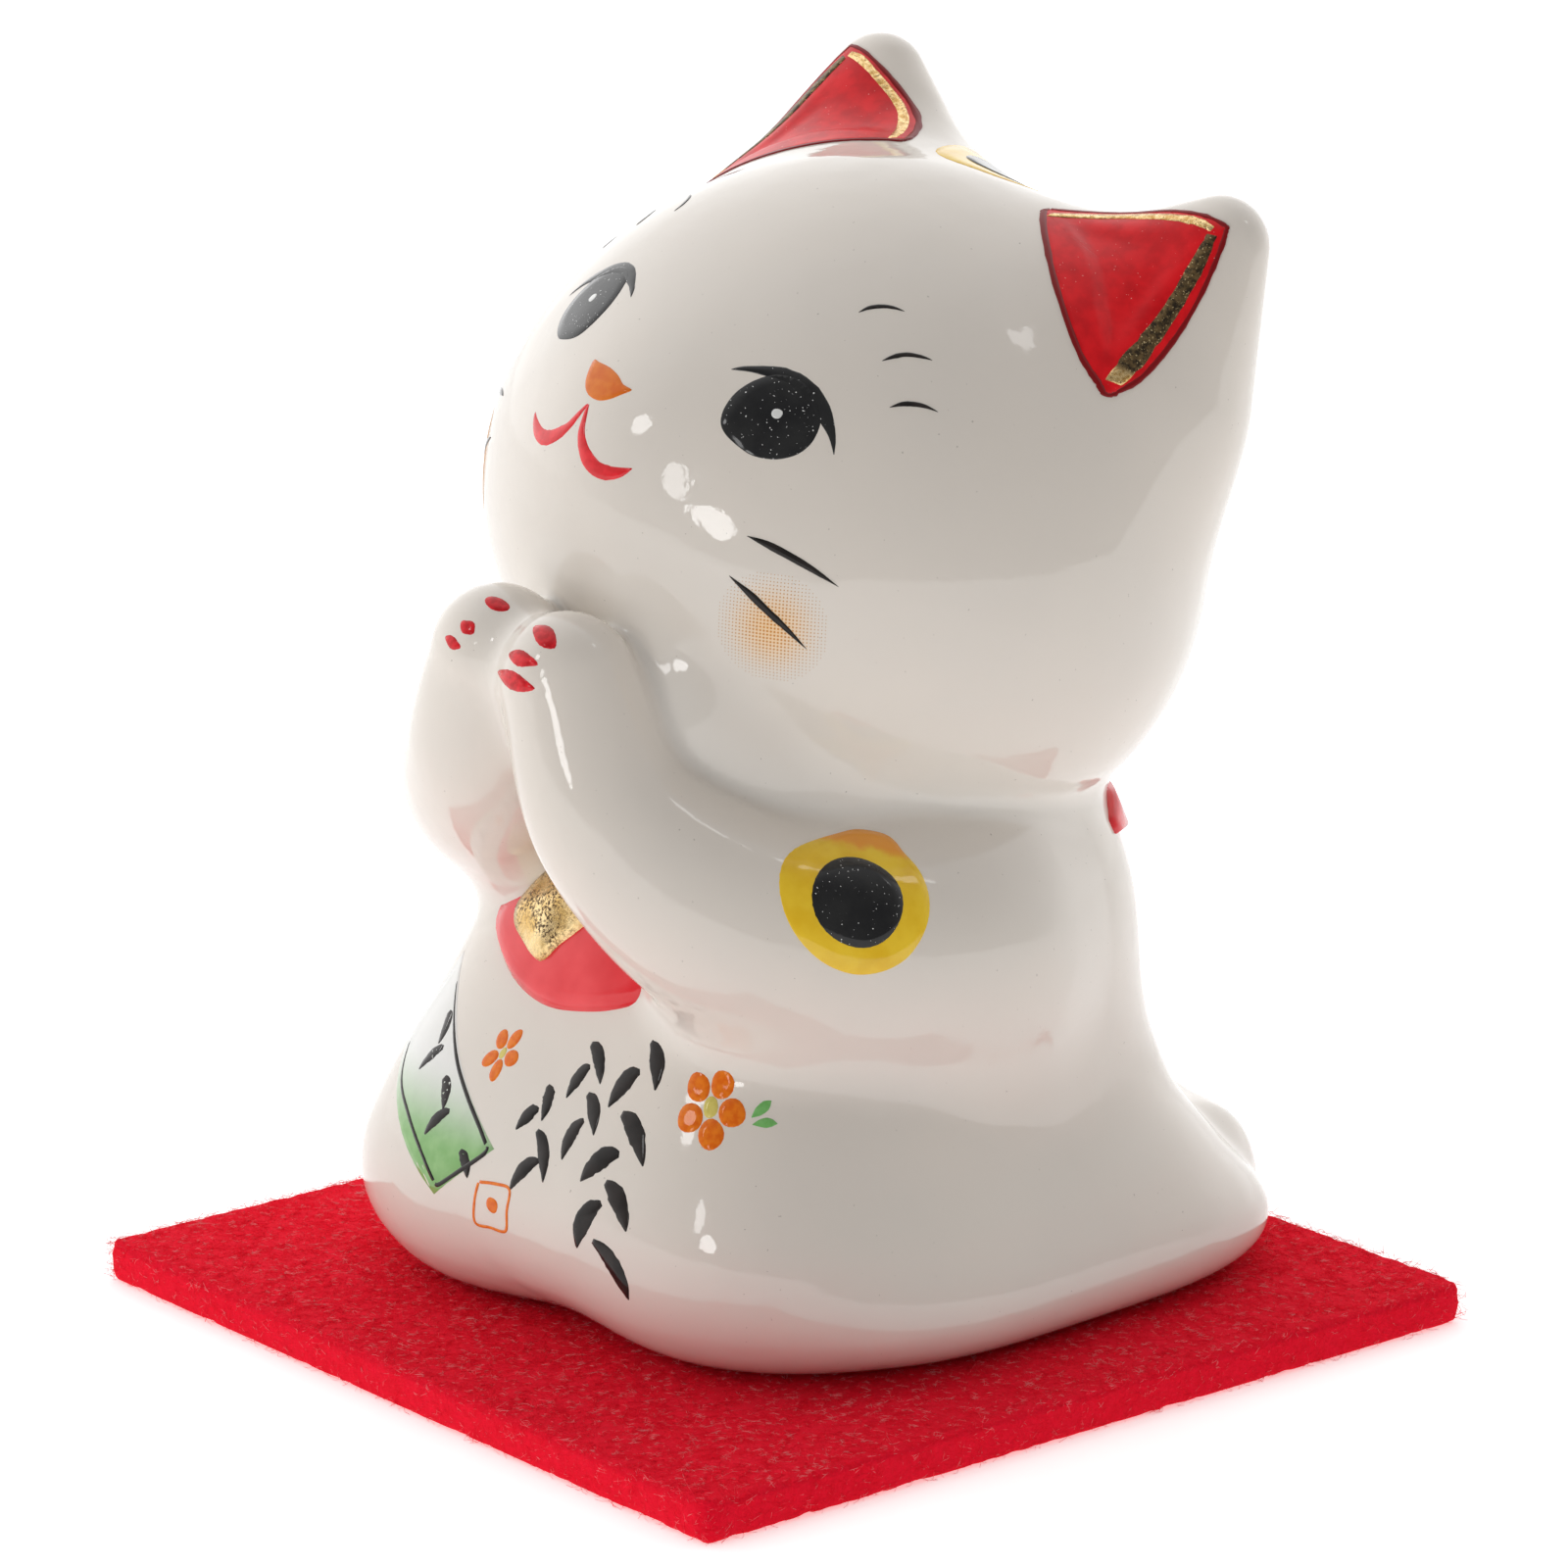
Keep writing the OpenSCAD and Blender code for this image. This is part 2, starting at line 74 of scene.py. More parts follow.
def studio():
    scene = bpy.context.scene
    back = Vector(facing(*CAMERA_FROM))
    right = Vector(facing(CAMERA_FROM[0] + 90, 0))
    up = back.cross(right)
    target = right * CAMERA_AT[0] + up * CAMERA_AT[1] + Vector((0, 0, MAT_T * MM))
    camera = bpy.data.objects.new("camera", bpy.data.cameras.new("camera"))
    camera.data.sensor_width = 36
    camera.data.lens = CAMERA_LENS
    camera.location = target + back * CAMERA_DISTANCE
    camera.rotation_euler = back.to_track_quat("Z", "Y").to_euler()
    scene.collection.objects.link(camera)
    scene.camera = camera

    scene.world = light_tent()
    scene.view_settings.view_transform = "Standard"

    for name, azimuth, elevation, size, power in SOFTBOXES:
        light = bpy.data.objects.new(name, bpy.data.lights.new(name, "AREA"))
        light.data.shape = "ELLIPSE"
        light.data.size, light.data.size_y = size
        light.data.energy = power
        out = Vector(facing(azimuth, elevation))
        light.location = out * LIGHT_DISTANCE + Vector((0, 0, LIGHT_AIM))
        light.rotation_euler = out.to_track_quat("Z", "Y").to_euler()
        scene.collection.objects.link(light)

    x = np.linspace(-FLOOR_SIDE / 2, FLOOR_SIDE / 2, FLOOR_LINES)
    grid = np.stack([*np.meshgrid(x, x, indexing="ij"), np.zeros((FLOOR_LINES, FLOOR_LINES))], -1)
    floor = make_object("floor", grid.reshape(-1, 3), grid_quads(FLOOR_LINES, FLOOR_LINES))
    floor.data.materials.append(floor_material())


def smooth_range(nodes, *limits):
    """A node that leads smoothly from low to high as its value goes from a to b."""
    node = nodes.new("ShaderNodeMapRange")
    node.interpolation_type = "SMOOTHSTEP"
    for key, value in zip(("From Min", "From Max", "To Min", "To Max"), limits):
        node.inputs[key].default_value = value
    return node


def light_tent():
    """White tent with its dim side a little to the right of the camera."""
    world = bpy.data.worlds.new("light_tent")
    world.use_nodes = True
    nodes, links = world.node_tree.nodes, world.node_tree.links
    where = nodes.new("ShaderNodeTexCoord")
    dot = nodes.new("ShaderNodeVectorMath")
    dot.operation = "DOT_PRODUCT"
    links.new(where.outputs["Generated"], dot.inputs[0])
    dot.inputs[1].default_value = facing(*TENT_DIM_SIDE)
    level = smooth_range(nodes, *TENT_EDGE, TENT_BRIGHT, TENT_DIM)
    links.new(dot.outputs["Value"], level.inputs["Value"])
    nodes["Background"].inputs["Color"].default_value = (1, 1, 1, 1)
    links.new(level.outputs["Result"], nodes["Background"].inputs["Strength"])
    return world


# --- fields


def blend(a, b, k):
    """Smooth union of two distances."""
    h = np.maximum(k - np.abs(a - b), 0) / k
    return np.minimum(a, b) - h * h * k / 4


def carve(a, b, k):
    """Smooth part of a that is inside b."""
    return -blend(-a, -b, k)


def ellipsoid(p, r):
    r = np.array(r, float)
    k0, k1 = np.linalg.norm(p / r, axis=-1), np.linalg.norm(p / r**2, axis=-1)
    return k0 * (k0 - 1) / np.maximum(k1, 1e-9)


def round_cone(p, a, b, r1, r2):
    a, b = np.array(a, float), np.array(b, float)
    length = np.linalg.norm(b - a)
    u = (b - a) / length
    y = (p - a) @ u
    x = np.linalg.norm(p - a - y[..., None] * u, axis=-1)
    s = (r1 - r2) / length
    c = math.sqrt(1 - s * s)
    k = c * y - s * x
    d = np.where(k < 0, np.hypot(x, y) - r1, x * c + y * s - r1)
    return np.where(k > c * length, np.hypot(x, y - length) - r2, d)


def smooth_table(x, xs, table):
    """Smooth curve through a table of values, read at x."""
    xs, table = np.array(xs, float), np.array(table, float)
    each = np.arange(len(xs))
    low, high = np.maximum(each - 1, 0), np.minimum(each + 1, len(xs) - 1)
    slope = (table[high] - table[low]) / (xs[high] - xs[low])[:, None]
    i = np.clip(np.searchsorted(xs, x, side="right") - 1, 0, len(xs) - 2)
    h = xs[i + 1] - xs[i]
    t = np.clip((x - xs[i]) / h, 0, 1)[..., None]
    h = h[..., None]
    t2, t3 = t * t, t * t * t
    return (
        table[i] * (2 * t3 - 3 * t2 + 1)
        + slope[i] * h * (t3 - 2 * t2 + t)
        + table[i + 1] * (3 * t2 - 2 * t3)
        + slope[i + 1] * h * (t3 - t2)
    )


def along(path, t):
    """Smooth curve through a path's points, numbered from 0, read at t."""
    return smooth_table(t, range(len(path)), path)


# Torso section by height: half width, front and back
TORSO_H = [0, 4, 9, 14, 22, 32, 46]
TORSO_W = [
    [26.2, -19.0, 32.2], [28.0, -24.0, 32.4], [26.6, -25.8, 28.2], [24.2, -24.6, 24.6],
    [21.2, -19.8, 22.6], [18.4, -14.5, 20.7], [14.5, -8.0, 17.0],
]
TORSO_POWER, TORSO_SLOPE, TORSO_TOP = 3.4, 0.77, 48
TORSO_AXIS = np.array([0, 4.0])
FOOT_C, FOOT_R, FOOT_BLEND = np.array([11, -12.5, 5.5]), (10.8, 10.2, 9), 4
EDGE_ROUND = 2.5
DRAIN_R, DRAIN_DEPTH, DRAIN_ROUND = 4.5, 7, 0.8

HEAD_C = np.array([0.6, 7.3, 56.1])
HEAD_R = (27, 24.7, 24.3)
HEAD_TAPER, HEAD_SLOPE = (0.004, 0.006), 0.88
HEAD_PITCH, HEAD_ROLL = math.radians(23), math.radians(12.5)
EAR_BASE, EAR_TIP = np.array([12.5, 3.8, 13.5]), np.array([17.3, 3.2, 26.2])
EAR_R, EAR_FLAT, EAR_BLEND, EAR_DISH = (11.8, 3.9), 0.8, 5, 0.3
# Corners of the ear's opening: at the crown, at the tip and low down
EAR_CORNERS = np.array([[7.5, -2.9, 23.8], [18.3, 0.6, 27.4], [20.3, -5.9, 14.4]])
FACE_TURN = -5
MUZZLE_EL, MUZZLE_R, MUZZLE_H = -6, 9, 1.5

# The throat fills the crease between the head and the arms
JOWL, JOWL_R, JOWL_BLEND = ([4.5, -12.8, 43.6], [9, -6.5, 37.8]), 7.4, 3

# Arms and tail as centre lines from the back outwards, each point with its radius
LEFT_ARM = [
    [13.5, 6.5, 27.6, 8.2], [17.4, -3, 28.4, 8.6], [13.3, -14.6, 30.9, 8.0],
    [7.4, -21.9, 38.3, 5.95], [3.5, -23.2, 48.1, 4.7],
]
RIGHT_ARM = [
    [-13.5, 5, 32, 7.8], [-16.6, -4, 34, 7.8], [-13, -14, 36.2, 7.3],
    [-6.8, -20.6, 41.5, 6.2], [-3.7, -23, 48.8, 4.7],
]
TAIL = [[-4, 21, 14, 3.4], [1, 27.5, 9.5, 4], [7.5, 29.6, 5.6, 4.2], [14, 28.6, 4.9, 4.2]]
# How close to a tube its distance is exact, and the radii of the creases between castings
TUBE_NEAR = 6.0
TAIL_CREASE, ARMS_CREASE, HEAD_CREASE = 2.5, 2.2, 1.6
ARM_CREASE, ELBOW_EXTRA, ELBOW_Y = 4, 5, (-9, 5)


def torso_field(p):
    w = smooth_table(p[..., 2], TORSO_H, TORSO_W)
    a, yc, b = w[..., 0], (w[..., 1] + w[..., 2]) / 2, (w[..., 2] - w[..., 1]) / 2
    q = np.abs(p[..., 0] / a) ** TORSO_POWER + np.abs((p[..., 1] - yc) / b) ** TORSO_POWER
    loft = (q ** (1 / TORSO_POWER) - 1) * np.minimum(a, b) * TORSO_SLOPE
    feet = np.minimum(ellipsoid(p - FOOT_C, FOOT_R), ellipsoid(p * [-1, 1, 1] - FOOT_C, FOOT_R))
    d = carve(blend(loft, feet, FOOT_BLEND), -p[..., 2], EDGE_ROUND)
    d = np.maximum(d, p[..., 2] - TORSO_TOP)
    hole = np.linalg.norm(p[..., :2] - TORSO_AXIS, axis=-1) - DRAIN_R
    return carve(d, -np.maximum(hole, p[..., 2] - DRAIN_DEPTH), DRAIN_ROUND)


def rotation(axis, angle):
    c, s = math.cos(angle), math.sin(angle)
    i, j = {"x": (1, 2), "y": (2, 0), "z": (0, 1)}[axis]
    m = np.eye(3)
    m[i, i] = m[j, j] = c
    m[i, j], m[j, i] = -s, s
    return m


TILT = rotation("y", HEAD_ROLL) @ rotation("x", -HEAD_PITCH)
TO_WORLD = rotation("z", CAT_TURN)


def facing(az, el):
    """The direction that is az degrees round to the cat's left from its front, and el up."""
    az, el = np.radians(az), np.radians(el)
    return np.stack([np.sin(az) * np.cos(el), -np.cos(az) * np.cos(el), np.sin(el) + 0 * az], -1)


def smoothstep(x, a, b):
    t = np.clip((x - a) / (b - a), 0, 1)
    return t * t * (3 - 2 * t)


def ear_inside(h, s):
    """How far a direction is inside the ear's opening: 0 at its rim, 1 in its middle."""
    w = (h * [s, 1, 1]) @ np.linalg.inv(EAR_CORNERS)
    w = w / np.maximum(w.sum(-1), 1e-6)[..., None]
    return np.where(w.min(-1) > 0, 27 * w.prod(-1), 0)


def head_local(h):
    rise = np.clip(h[..., 2], -30, 30)
    across, along = (h[..., k] / (1 - HEAD_TAPER[k] * rise) for k in (0, 1))
    q = np.stack([across, along, h[..., 2]], -1)
    d = ellipsoid(q, HEAD_R) * HEAD_SLOPE
    for s in (1, -1):
        e = h * [s, 1, 1]
        e[..., 1] = (e[..., 1] - EAR_BASE[1]) / EAR_FLAT + EAR_BASE[1]
        d = blend(d, round_cone(e, EAR_BASE, EAR_TIP, *EAR_R) * EAR_FLAT, EAR_BLEND)
        d = d + EAR_DISH * smoothstep(ear_inside(h, s), 0, 0.7)
    m = np.linalg.norm(h - HEAD_R[1] * facing(FACE_TURN, MUZZLE_EL), axis=-1) / MUZZLE_R
    return d - MUZZLE_H * np.exp(-m * m)


def head_field(p):
    d = head_local((p - HEAD_C) @ TILT)
    for s in (1, -1):
        d = blend(d, round_cone(p * [s, 1, 1], *JOWL, JOWL_R, JOWL_R), JOWL_BLEND)
    return d


def tube_field(p, path, steps=8):
    """Distance to a tube swept along a smooth path; close by, the nearest place is refined."""
    knots = along(path, np.linspace(0, len(path) - 1, steps + 1))
    best = where = None
    for i in range(steps):
        a, b = knots[i], knots[i + 1]
        u = b[:3] - a[:3]
        t = np.clip((p - a[:3]) @ u / (u @ u), 0, 1)
        d = np.linalg.norm(p - a[:3] - t[..., None] * u, axis=-1) - a[3] - t * (b[3] - a[3])
        t = (t + i) * (len(path) - 1) / steps
        best, where = (d, t) if best is None else (np.minimum(best, d), np.where(d < best, t, where))
    close = np.abs(best) < TUBE_NEAR
    if close.any():
        q, t = p[close], where[close]

        def reach(t):
            c = along(path, t)
            return np.linalg.norm(q - c[:, :3], axis=-1) - c[:, 3]

        for h in (0.2, 0.08):
            f = [reach(np.clip(t + k * h, 0, len(path) - 1)) for k in (-1, 0, 1)]
            curve = np.maximum(f[0] - 2 * f[1] + f[2], 1e-6)
            t = np.clip(t + np.clip(h / 2 * (f[0] - f[2]) / curve, -h, h), 0, len(path) - 1)
        fade = smoothstep(np.abs(best[close]), TUBE_NEAR / 2, TUBE_NEAR)
        best[close] = reach(t) * (1 - fade) + best[close] * fade
    return best


def parts_of(p):
    """Distance to each casting: torso, head, left arm, right arm, tail."""
    return [torso_field(p), head_field(p), tube_field(p, LEFT_ARM), tube_field(p, RIGHT_ARM),
            tube_field(p, TAIL, 6)]


def body_of(p, parts):
    """Everything but the head; the elbows melt into the back of the torso."""
    torso, _, left, right, tail = parts
    elbow = ARM_CREASE + ELBOW_EXTRA * smoothstep(p[..., 1], *ELBOW_Y)
    return blend(blend(torso, tail, TAIL_CREASE), blend(left, right, ARMS_CREASE), elbow)


def body_skin(p):
    return body_of(p, parts_of(p))


def skin(p):
    """All castings as one smooth skin."""
    parts = parts_of(p)
    return blend(body_of(p, parts), parts[1], HEAD_CREASE)


def unit(v):
    return v / np.maximum(np.linalg.norm(v, axis=-1, keepdims=True), 1e-9)


def slope(field, p, step=0.03):
    ends = np.eye(3) * step
    return np.stack([field(p + e) - field(p - e) for e in ends], -1) / (2 * step)


def settle(field, p, rounds=3):
    """Moves points onto the surface of a field along its slope."""
    for _ in range(rounds):
        g = slope(field, p)
        move = np.clip(field(p) / np.maximum((g * g).sum(-1), 0.05), -0.6, 0.6)
        p = p - move[..., None] * g
    return p


def to_metres(p):
    return (p @ TO_WORLD.T + [0, 0, MAT_T]) * MM


# --- meshes


def make_object(name, points, faces):
    mesh = bpy.data.meshes.new(name)
    mesh.from_pydata([tuple(v) for v in points], [], faces)
    mesh.validate()
    mesh.shade_smooth()
    obj = bpy.data.objects.new(name, mesh)
    bpy.context.scene.collection.objects.link(obj)
    return obj


def grid_quads(n, m):
    return [
        (i * m + j, (i + 1) * m + j, (i + 1) * m + j + 1, i * m + j + 1)
        for i in range(n - 1) for j in range(m - 1)
    ]


def grid_rim(n, m):
    """The edge of a grid in order, as its points' numbers."""
    return ([i * m for i in range(n)] + [(n - 1) * m + j for j in range(1, m)]
            + [i * m + m - 1 for i in range(n - 2, -1, -1)] + list(range(m - 2, 0, -1)))


# Exact sampling happens only in coarse cells that the surface may cross
VOXEL, COARSE, BLOCK = 0.55, 4, 200000
# Glaze pools in the creases, and the creases also get painted bounce light: a lighter colour in place
# of light thrown back into their shade, most of all on the head
CREASE_LIGHT_REACH, CREASE_LIGHT_ELSEWHERE, CREASE_LIGHT_FADE = 5.0, 0.3, 1.2


def skin_mesh():
    low, high = np.array([-31.0, -31.0, -1.5]), np.array([31.0, 36.0, 90.0])
    cells = np.ceil((high - low) / (VOXEL * COARSE)).astype(int)
    axes = [low[k] + (np.arange(cells[k]) + 0.5) * VOXEL * COARSE for k in range(3)]
    coarse = skin(np.stack(np.meshgrid(*axes, indexing="ij"), -1))
    fine, near = (
        np.repeat(np.repeat(np.repeat(v, COARSE, 0), COARSE, 1), COARSE, 2)
        for v in (coarse, np.abs(coarse) < VOXEL * COARSE * 1.6)
    )
    index = np.argwhere(near)
    for block in np.array_split(index, max(1, len(index) // BLOCK)):
        fine[tuple(block.T)] = skin(low + (block + 0.5) * VOXEL)
    grid = openvdb.FloatGrid(3.0)
    grid.copyFromArray(fine.astype(np.float32))
    points, quads = grid.convertToQuads(0)
    points = settle(skin, low + (points + 0.5) * VOXEL)
    return points, quads.astype(int)


def split_castings(points, quads, shader):
    """One closed piece for each casting, cut from the smooth skin along its creases."""
    names = ["torso", "head", "left_arm", "right_arm", "tail"]
    owner = np.argmin(parts_of(points[quads].mean(1)), 0)
    normal = unit(slope(skin, points))
    parts = parts_of(points)
    # Painted bounce light in the creases, partly pooled glaze: 1 at a crease, fading outwards,
    # strongest where the head lies over the arms
    pool_and_crease_light = 1 - smoothstep(np.sort(parts, 0)[1], 0.0, CREASE_LIGHT_REACH)
    below = np.min([d for k, d in enumerate(parts) if k != 1], 0) - parts[1]
    on_top = smoothstep(below, -CREASE_LIGHT_FADE, CREASE_LIGHT_FADE)
    pool_and_crease_light = pool_and_crease_light * (CREASE_LIGHT_ELSEWHERE + (1 - CREASE_LIGHT_ELSEWHERE) * on_top)
    for k, name in enumerate(names):
        mine = quads[owner == k]
        edges = np.concatenate([mine[:, [i, (i + 1) % 4]] for i in range(4)])
        have = {(a, b) for a, b in edges.tolist()}
        rim = sorted((a, b) for a, b in have if (b, a) not in have)
        group = {}

        def root(v):
            while group.get(v, v) != v:
                v = group[v]
            return v

        for a, b in rim:
            ra, rb = root(a), root(b)
            group[ra] = rb
            group.setdefault(rb, rb)
        loops = {}
        for a, b in rim:
            loops.setdefault(root(a), []).append((a, b))
        used = np.unique(mine)
        remap = -np.ones(len(points), int)
        remap[used] = np.arange(len(used))
        verts = list(points[used])
        faces = [tuple(f) for f in remap[mine].tolist()]
        loop_normals = list(normal[mine].reshape(-1, 3))
        for pairs in loops.values():
            centre = points[[a for a, _ in pairs]].mean(0)
            verts.append(centre)
            for a, b in pairs:
                faces.append((int(remap[b]), int(remap[a]), len(verts) - 1))
                loop_normals += [unit(np.cross(points[a] - points[b], centre - points[b]))] * 3
        obj = make_object(name + "_glazed", to_metres(np.array(verts)), faces)
        world_normals = np.array(loop_normals) @ TO_WORLD.T
        obj.data.normals_split_custom_set([tuple(v) for v in world_normals])
        level = obj.data.attributes.new("pool_and_crease_light", "FLOAT", "POINT")
        level.data.foreach_set("value", np.concatenate([pool_and_crease_light[used], np.zeros(len(loops))]))
        obj.data.materials.append(shader)
        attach(obj, BODY)
        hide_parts(name)


# --- materials


class Shader:
    """A small material builder: s.add(kind, socket=value or node output)."""

    def __init__(self, name):
        self.material = bpy.data.materials.new(name)
        self.material.use_nodes = True
        self.tree = self.material.node_tree
        self.tree.nodes.clear()
        self.out = self.tree.nodes.new("ShaderNodeOutputMaterial")
        self.where = self.add("ShaderNodeTexCoord").outputs["Object"]

    def put(self, node, key, value):
        socket = node.inputs[key]
        if isinstance(value, bpy.types.NodeSocket):
            self.tree.links.new(value, socket)
        else:
            socket.default_value = value

    def add(self, kind, settings=None, **inputs):
        node = self.tree.nodes.new(kind)
        for key, value in (settings or {}).items():
            setattr(node, key, value)
        for key, value in inputs.items():
            self.put(node, int(key[1:]) if key[1:].isdigit() else key.replace("_", " "), value)
        return node

    def noise(self, size_mm, detail=3, rough=0.5, where=None):
        node = self.add("ShaderNodeTexNoise", Vector=where or self.where, Scale=1000 / size_mm,
                        Detail=detail, Roughness=rough)
        return node.outputs["Fac"]

    def ramp(self, value, stops):
        node = self.add("ShaderNodeValToRGB", Fac=value)
        ramp = node.color_ramp
        while len(ramp.elements) < len(stops):
            ramp.elements.new(0.5)
        for element, (place, colour) in zip(ramp.elements, stops):
            element.position = place
            element.color = (*colour, 1) if len(colour) == 3 else colour
        return node.outputs["Color"]

    def step(self, value, a, b, low=0.0, high=1.0):
        node = smooth_range(self.tree.nodes, a, b, low, high)
        self.put(node, "Value", value)
        return node.outputs["Result"]

    def math(self, op, a, b=0.0):
        return self.add("ShaderNodeMath", {"operation": op}, _0=a, _1=b).outputs[0]

    def mix(self, factor, a, b):
        node = self.add("ShaderNodeMix", {"data_type": "RGBA"}, _0=factor)
        for key, v in ((6, a), (7, b)):
            self.put(node, key, v if isinstance(v, bpy.types.NodeSocket) else (*v, 1))
        return node.outputs[2]

    def bump(self, height, distance_mm, under=None):
        node = self.add("ShaderNodeBump", Height=height, Distance=distance_mm * MM, Strength=1.0)
        if under:
            self.put(node, "Normal", under)
        return node.outputs["Normal"]

    def spot(self):
        """A coat point's place across and up in millimetres, and its layer's level."""
        mark = self.add("ShaderNodeAttribute", {"attribute_name": "spot"}).outputs["Vector"]
        return self.add("ShaderNodeSeparateXYZ", Vector=mark).outputs

    def surface(self, **inputs):
        node = self.add("ShaderNodeBsdfPrincipled")
        for key, value in inputs.items():
            if isinstance(value, tuple) and len(value) == 3:
                value = (*value, 1)
            self.put(node, key.replace("_", " "), value)
        self.tree.links.new(node.outputs[0], self.out.inputs["Surface"])
        return self.material


def floor_material():
    s = Shader("pale_floor")
    tone = s.ramp(s.noise(60), [(0.3, (0.88, 0.88, 0.88)), (0.7, (0.9, 0.9, 0.9))])
    return s.surface(Base_Color=tone, Roughness=0.8, Emission_Color=(1, 1, 1),
                     Emission_Strength=0.45)


GLAZE = (0.755, 0.69, 0.62)
WASH = (0.95, 0.56, 0.18)


def waves(s):
    """The uneven gloss that every fired coat shares with the glaze under it."""
    wave = s.bump(s.noise(9, 2), 0.2)
    return s.bump(s.noise(0.9, 2), 0.01, under=wave)


def specks(s, size_mm, amount):
    """Pinholes and dust, sharper and rarer as the amount falls."""
    return s.step(s.noise(size_mm, 1), 0.82 - amount, 0.835 - amount)


def glaze():
    s = Shader("white_glaze")
    pool_and_crease_light = s.add("ShaderNodeAttribute", {"attribute_name": "pool_and_crease_light"}).outputs["Fac"]
    cloud = s.step(s.noise(14, 4), 0.35, 0.65)
    tone = s.mix(cloud, GLAZE, (0.74, 0.68, 0.615))
    # Creases painted lighter: partly thicker pooled glaze, partly painted bounce light against the
    # shade in the creases
    tone = s.mix(s.math("MULTIPLY", pool_and_crease_light, 0.65), tone, (0.97, 0.93, 0.87))
    for side in (1, -1):
        centre = to_metres(on_head(BLUSH_AT[side])(np.zeros((1, 2))))[0]
        gap = s.add("ShaderNodeVectorMath", {"operation": "DISTANCE"}, _0=s.where, _1=tuple(centre))
        wash = s.step(gap.outputs["Value"], BLUSH_R * 1.05 * MM, 0, 0, 0.66)
        tone = s.mix(wash, tone, WASH)
    height = s.add("ShaderNodeSeparateXYZ", Vector=s.where).outputs["Z"]
    biscuit = s.step(height, (MAT_T + 0.35) * MM, (MAT_T + 0.12) * MM)
    tone = s.mix(biscuit, tone, (0.72, 0.62, 0.5))
    tone = s.mix(s.math("MULTIPLY", specks(s, 0.3, 0.03), 0.6), tone, (0.35, 0.3, 0.26))
    rough = s.step(biscuit, 0, 1, 0.045, 0.75)
    return s.surface(Base_Color=tone, Roughness=rough, IOR=1.52, Normal=waves(s))


def enamel(name, deep, light, grain=2.5, flecks=0.0, fleck=(0.9, 0.9, 0.88), rough=0.07,
           shine=0.5, line=None):
    """Glossy fired colour, deeper where the brush left more of it."""
    s = Shader(name)
    tone = s.mix(s.step(s.noise(grain, 3), 0.3, 0.7), deep, light)
    if flecks:
        tone = s.mix(specks(s, 0.16, flecks), tone, fleck)
    if line:
        tone = s.mix(s.spot()["Z"], tone, line)
    return s.surface(Base_Color=tone, Roughness=rough, IOR=1.5, Specular_IOR_Level=shine,
                     Normal=waves(s))


def gold(name, dark, light, wear):
    """Lustre: metal film, worn into dark specks and rough patches."""
    s = Shader(name)
    worn = s.step(s.noise(0.22, 3, 0.7), 0.46, 0.6)
    patch = s.step(s.noise(2.2, 2), 0.62 - wear, 0.82 - wear)
    tone = s.mix(s.step(s.noise(1.5, 3), 0.3, 0.7), dark, light)
    tone = s.mix(s.math("MULTIPLY", worn, patch), tone, (0.07, 0.04, 0.02))
    rough = s.step(worn, 0, 1, 0.16, 0.42)
    return s.surface(Base_Color=tone, Metallic=0.9, Roughness=rough, Normal=s.bump(worn, 0.012))


def ear_gold():
    """Bright thin gold along the top, a dull bronze stroke down the side with a bright end."""
    s = Shader("ear_gilding")
    place = s.spot()
    dull = s.math("MULTIPLY", place["Z"], s.step(place["Y"], 15.9, 16.5))
    grain = s.step(s.noise(0.5, 3, 0.7), 0.35, 0.65)
    bright = s.mix(grain, (0.55, 0.31, 0.08), (0.92, 0.68, 0.34))
    tone = s.mix(dull, bright, s.mix(grain, (0.035, 0.025, 0.015), (0.20, 0.13, 0.055)))
    fleck = s.step(s.noise(0.13, 1), 0.66, 0.7)
    tone = s.mix(fleck, tone, s.mix(dull, (0.05, 0.03, 0.02), (0.75, 0.58, 0.30)))
    return s.surface(Base_Color=tone, Metallic=0.75, Roughness=s.step(dull, 0, 1, 0.25, 0.45),
                     Normal=s.bump(grain, 0.015))


def tag_green():
    """Green that fades to the white of the glaze up the tag."""
    s = Shader("green_fade")
    fade = s.step(s.spot()["Y"], -3.5, 2.0)
    green = s.mix(s.step(s.noise(1.2, 3), 0.3, 0.7), (0.20, 0.43, 0.13), (0.26, 0.50, 0.18))
    tone = s.mix(fade, green, (0.78, 0.775, 0.75))
    return s.surface(Base_Color=tone, Roughness=0.07, Normal=waves(s))


def spot_yellow():
    """Yellow with an orange cloud towards the upper edge of the patch."""
    s = Shader("spot_yellow")
    cloud = s.math("ADD", s.spot()["Y"], s.math("MULTIPLY", s.noise(1.6, 3), 2.2))
    tone = s.mix(s.step(s.noise(2, 3), 0.3, 0.7), (0.82, 0.50, 0.012), (0.90, 0.60, 0.03))
    tone = s.mix(s.step(cloud, 4.9, 6.2), tone, (0.86, 0.33, 0.02))
    return s.surface(Base_Color=tone, Roughness=0.07, Normal=waves(s))


def blush_ink():
    s = Shader("blush_print")
    tone = s.mix(s.spot()["Z"], (0.62, 0.40, 0.23), (0.66, 0.25, 0.03))
    return s.surface(Base_Color=tone, Roughness=0.1, Normal=waves(s))


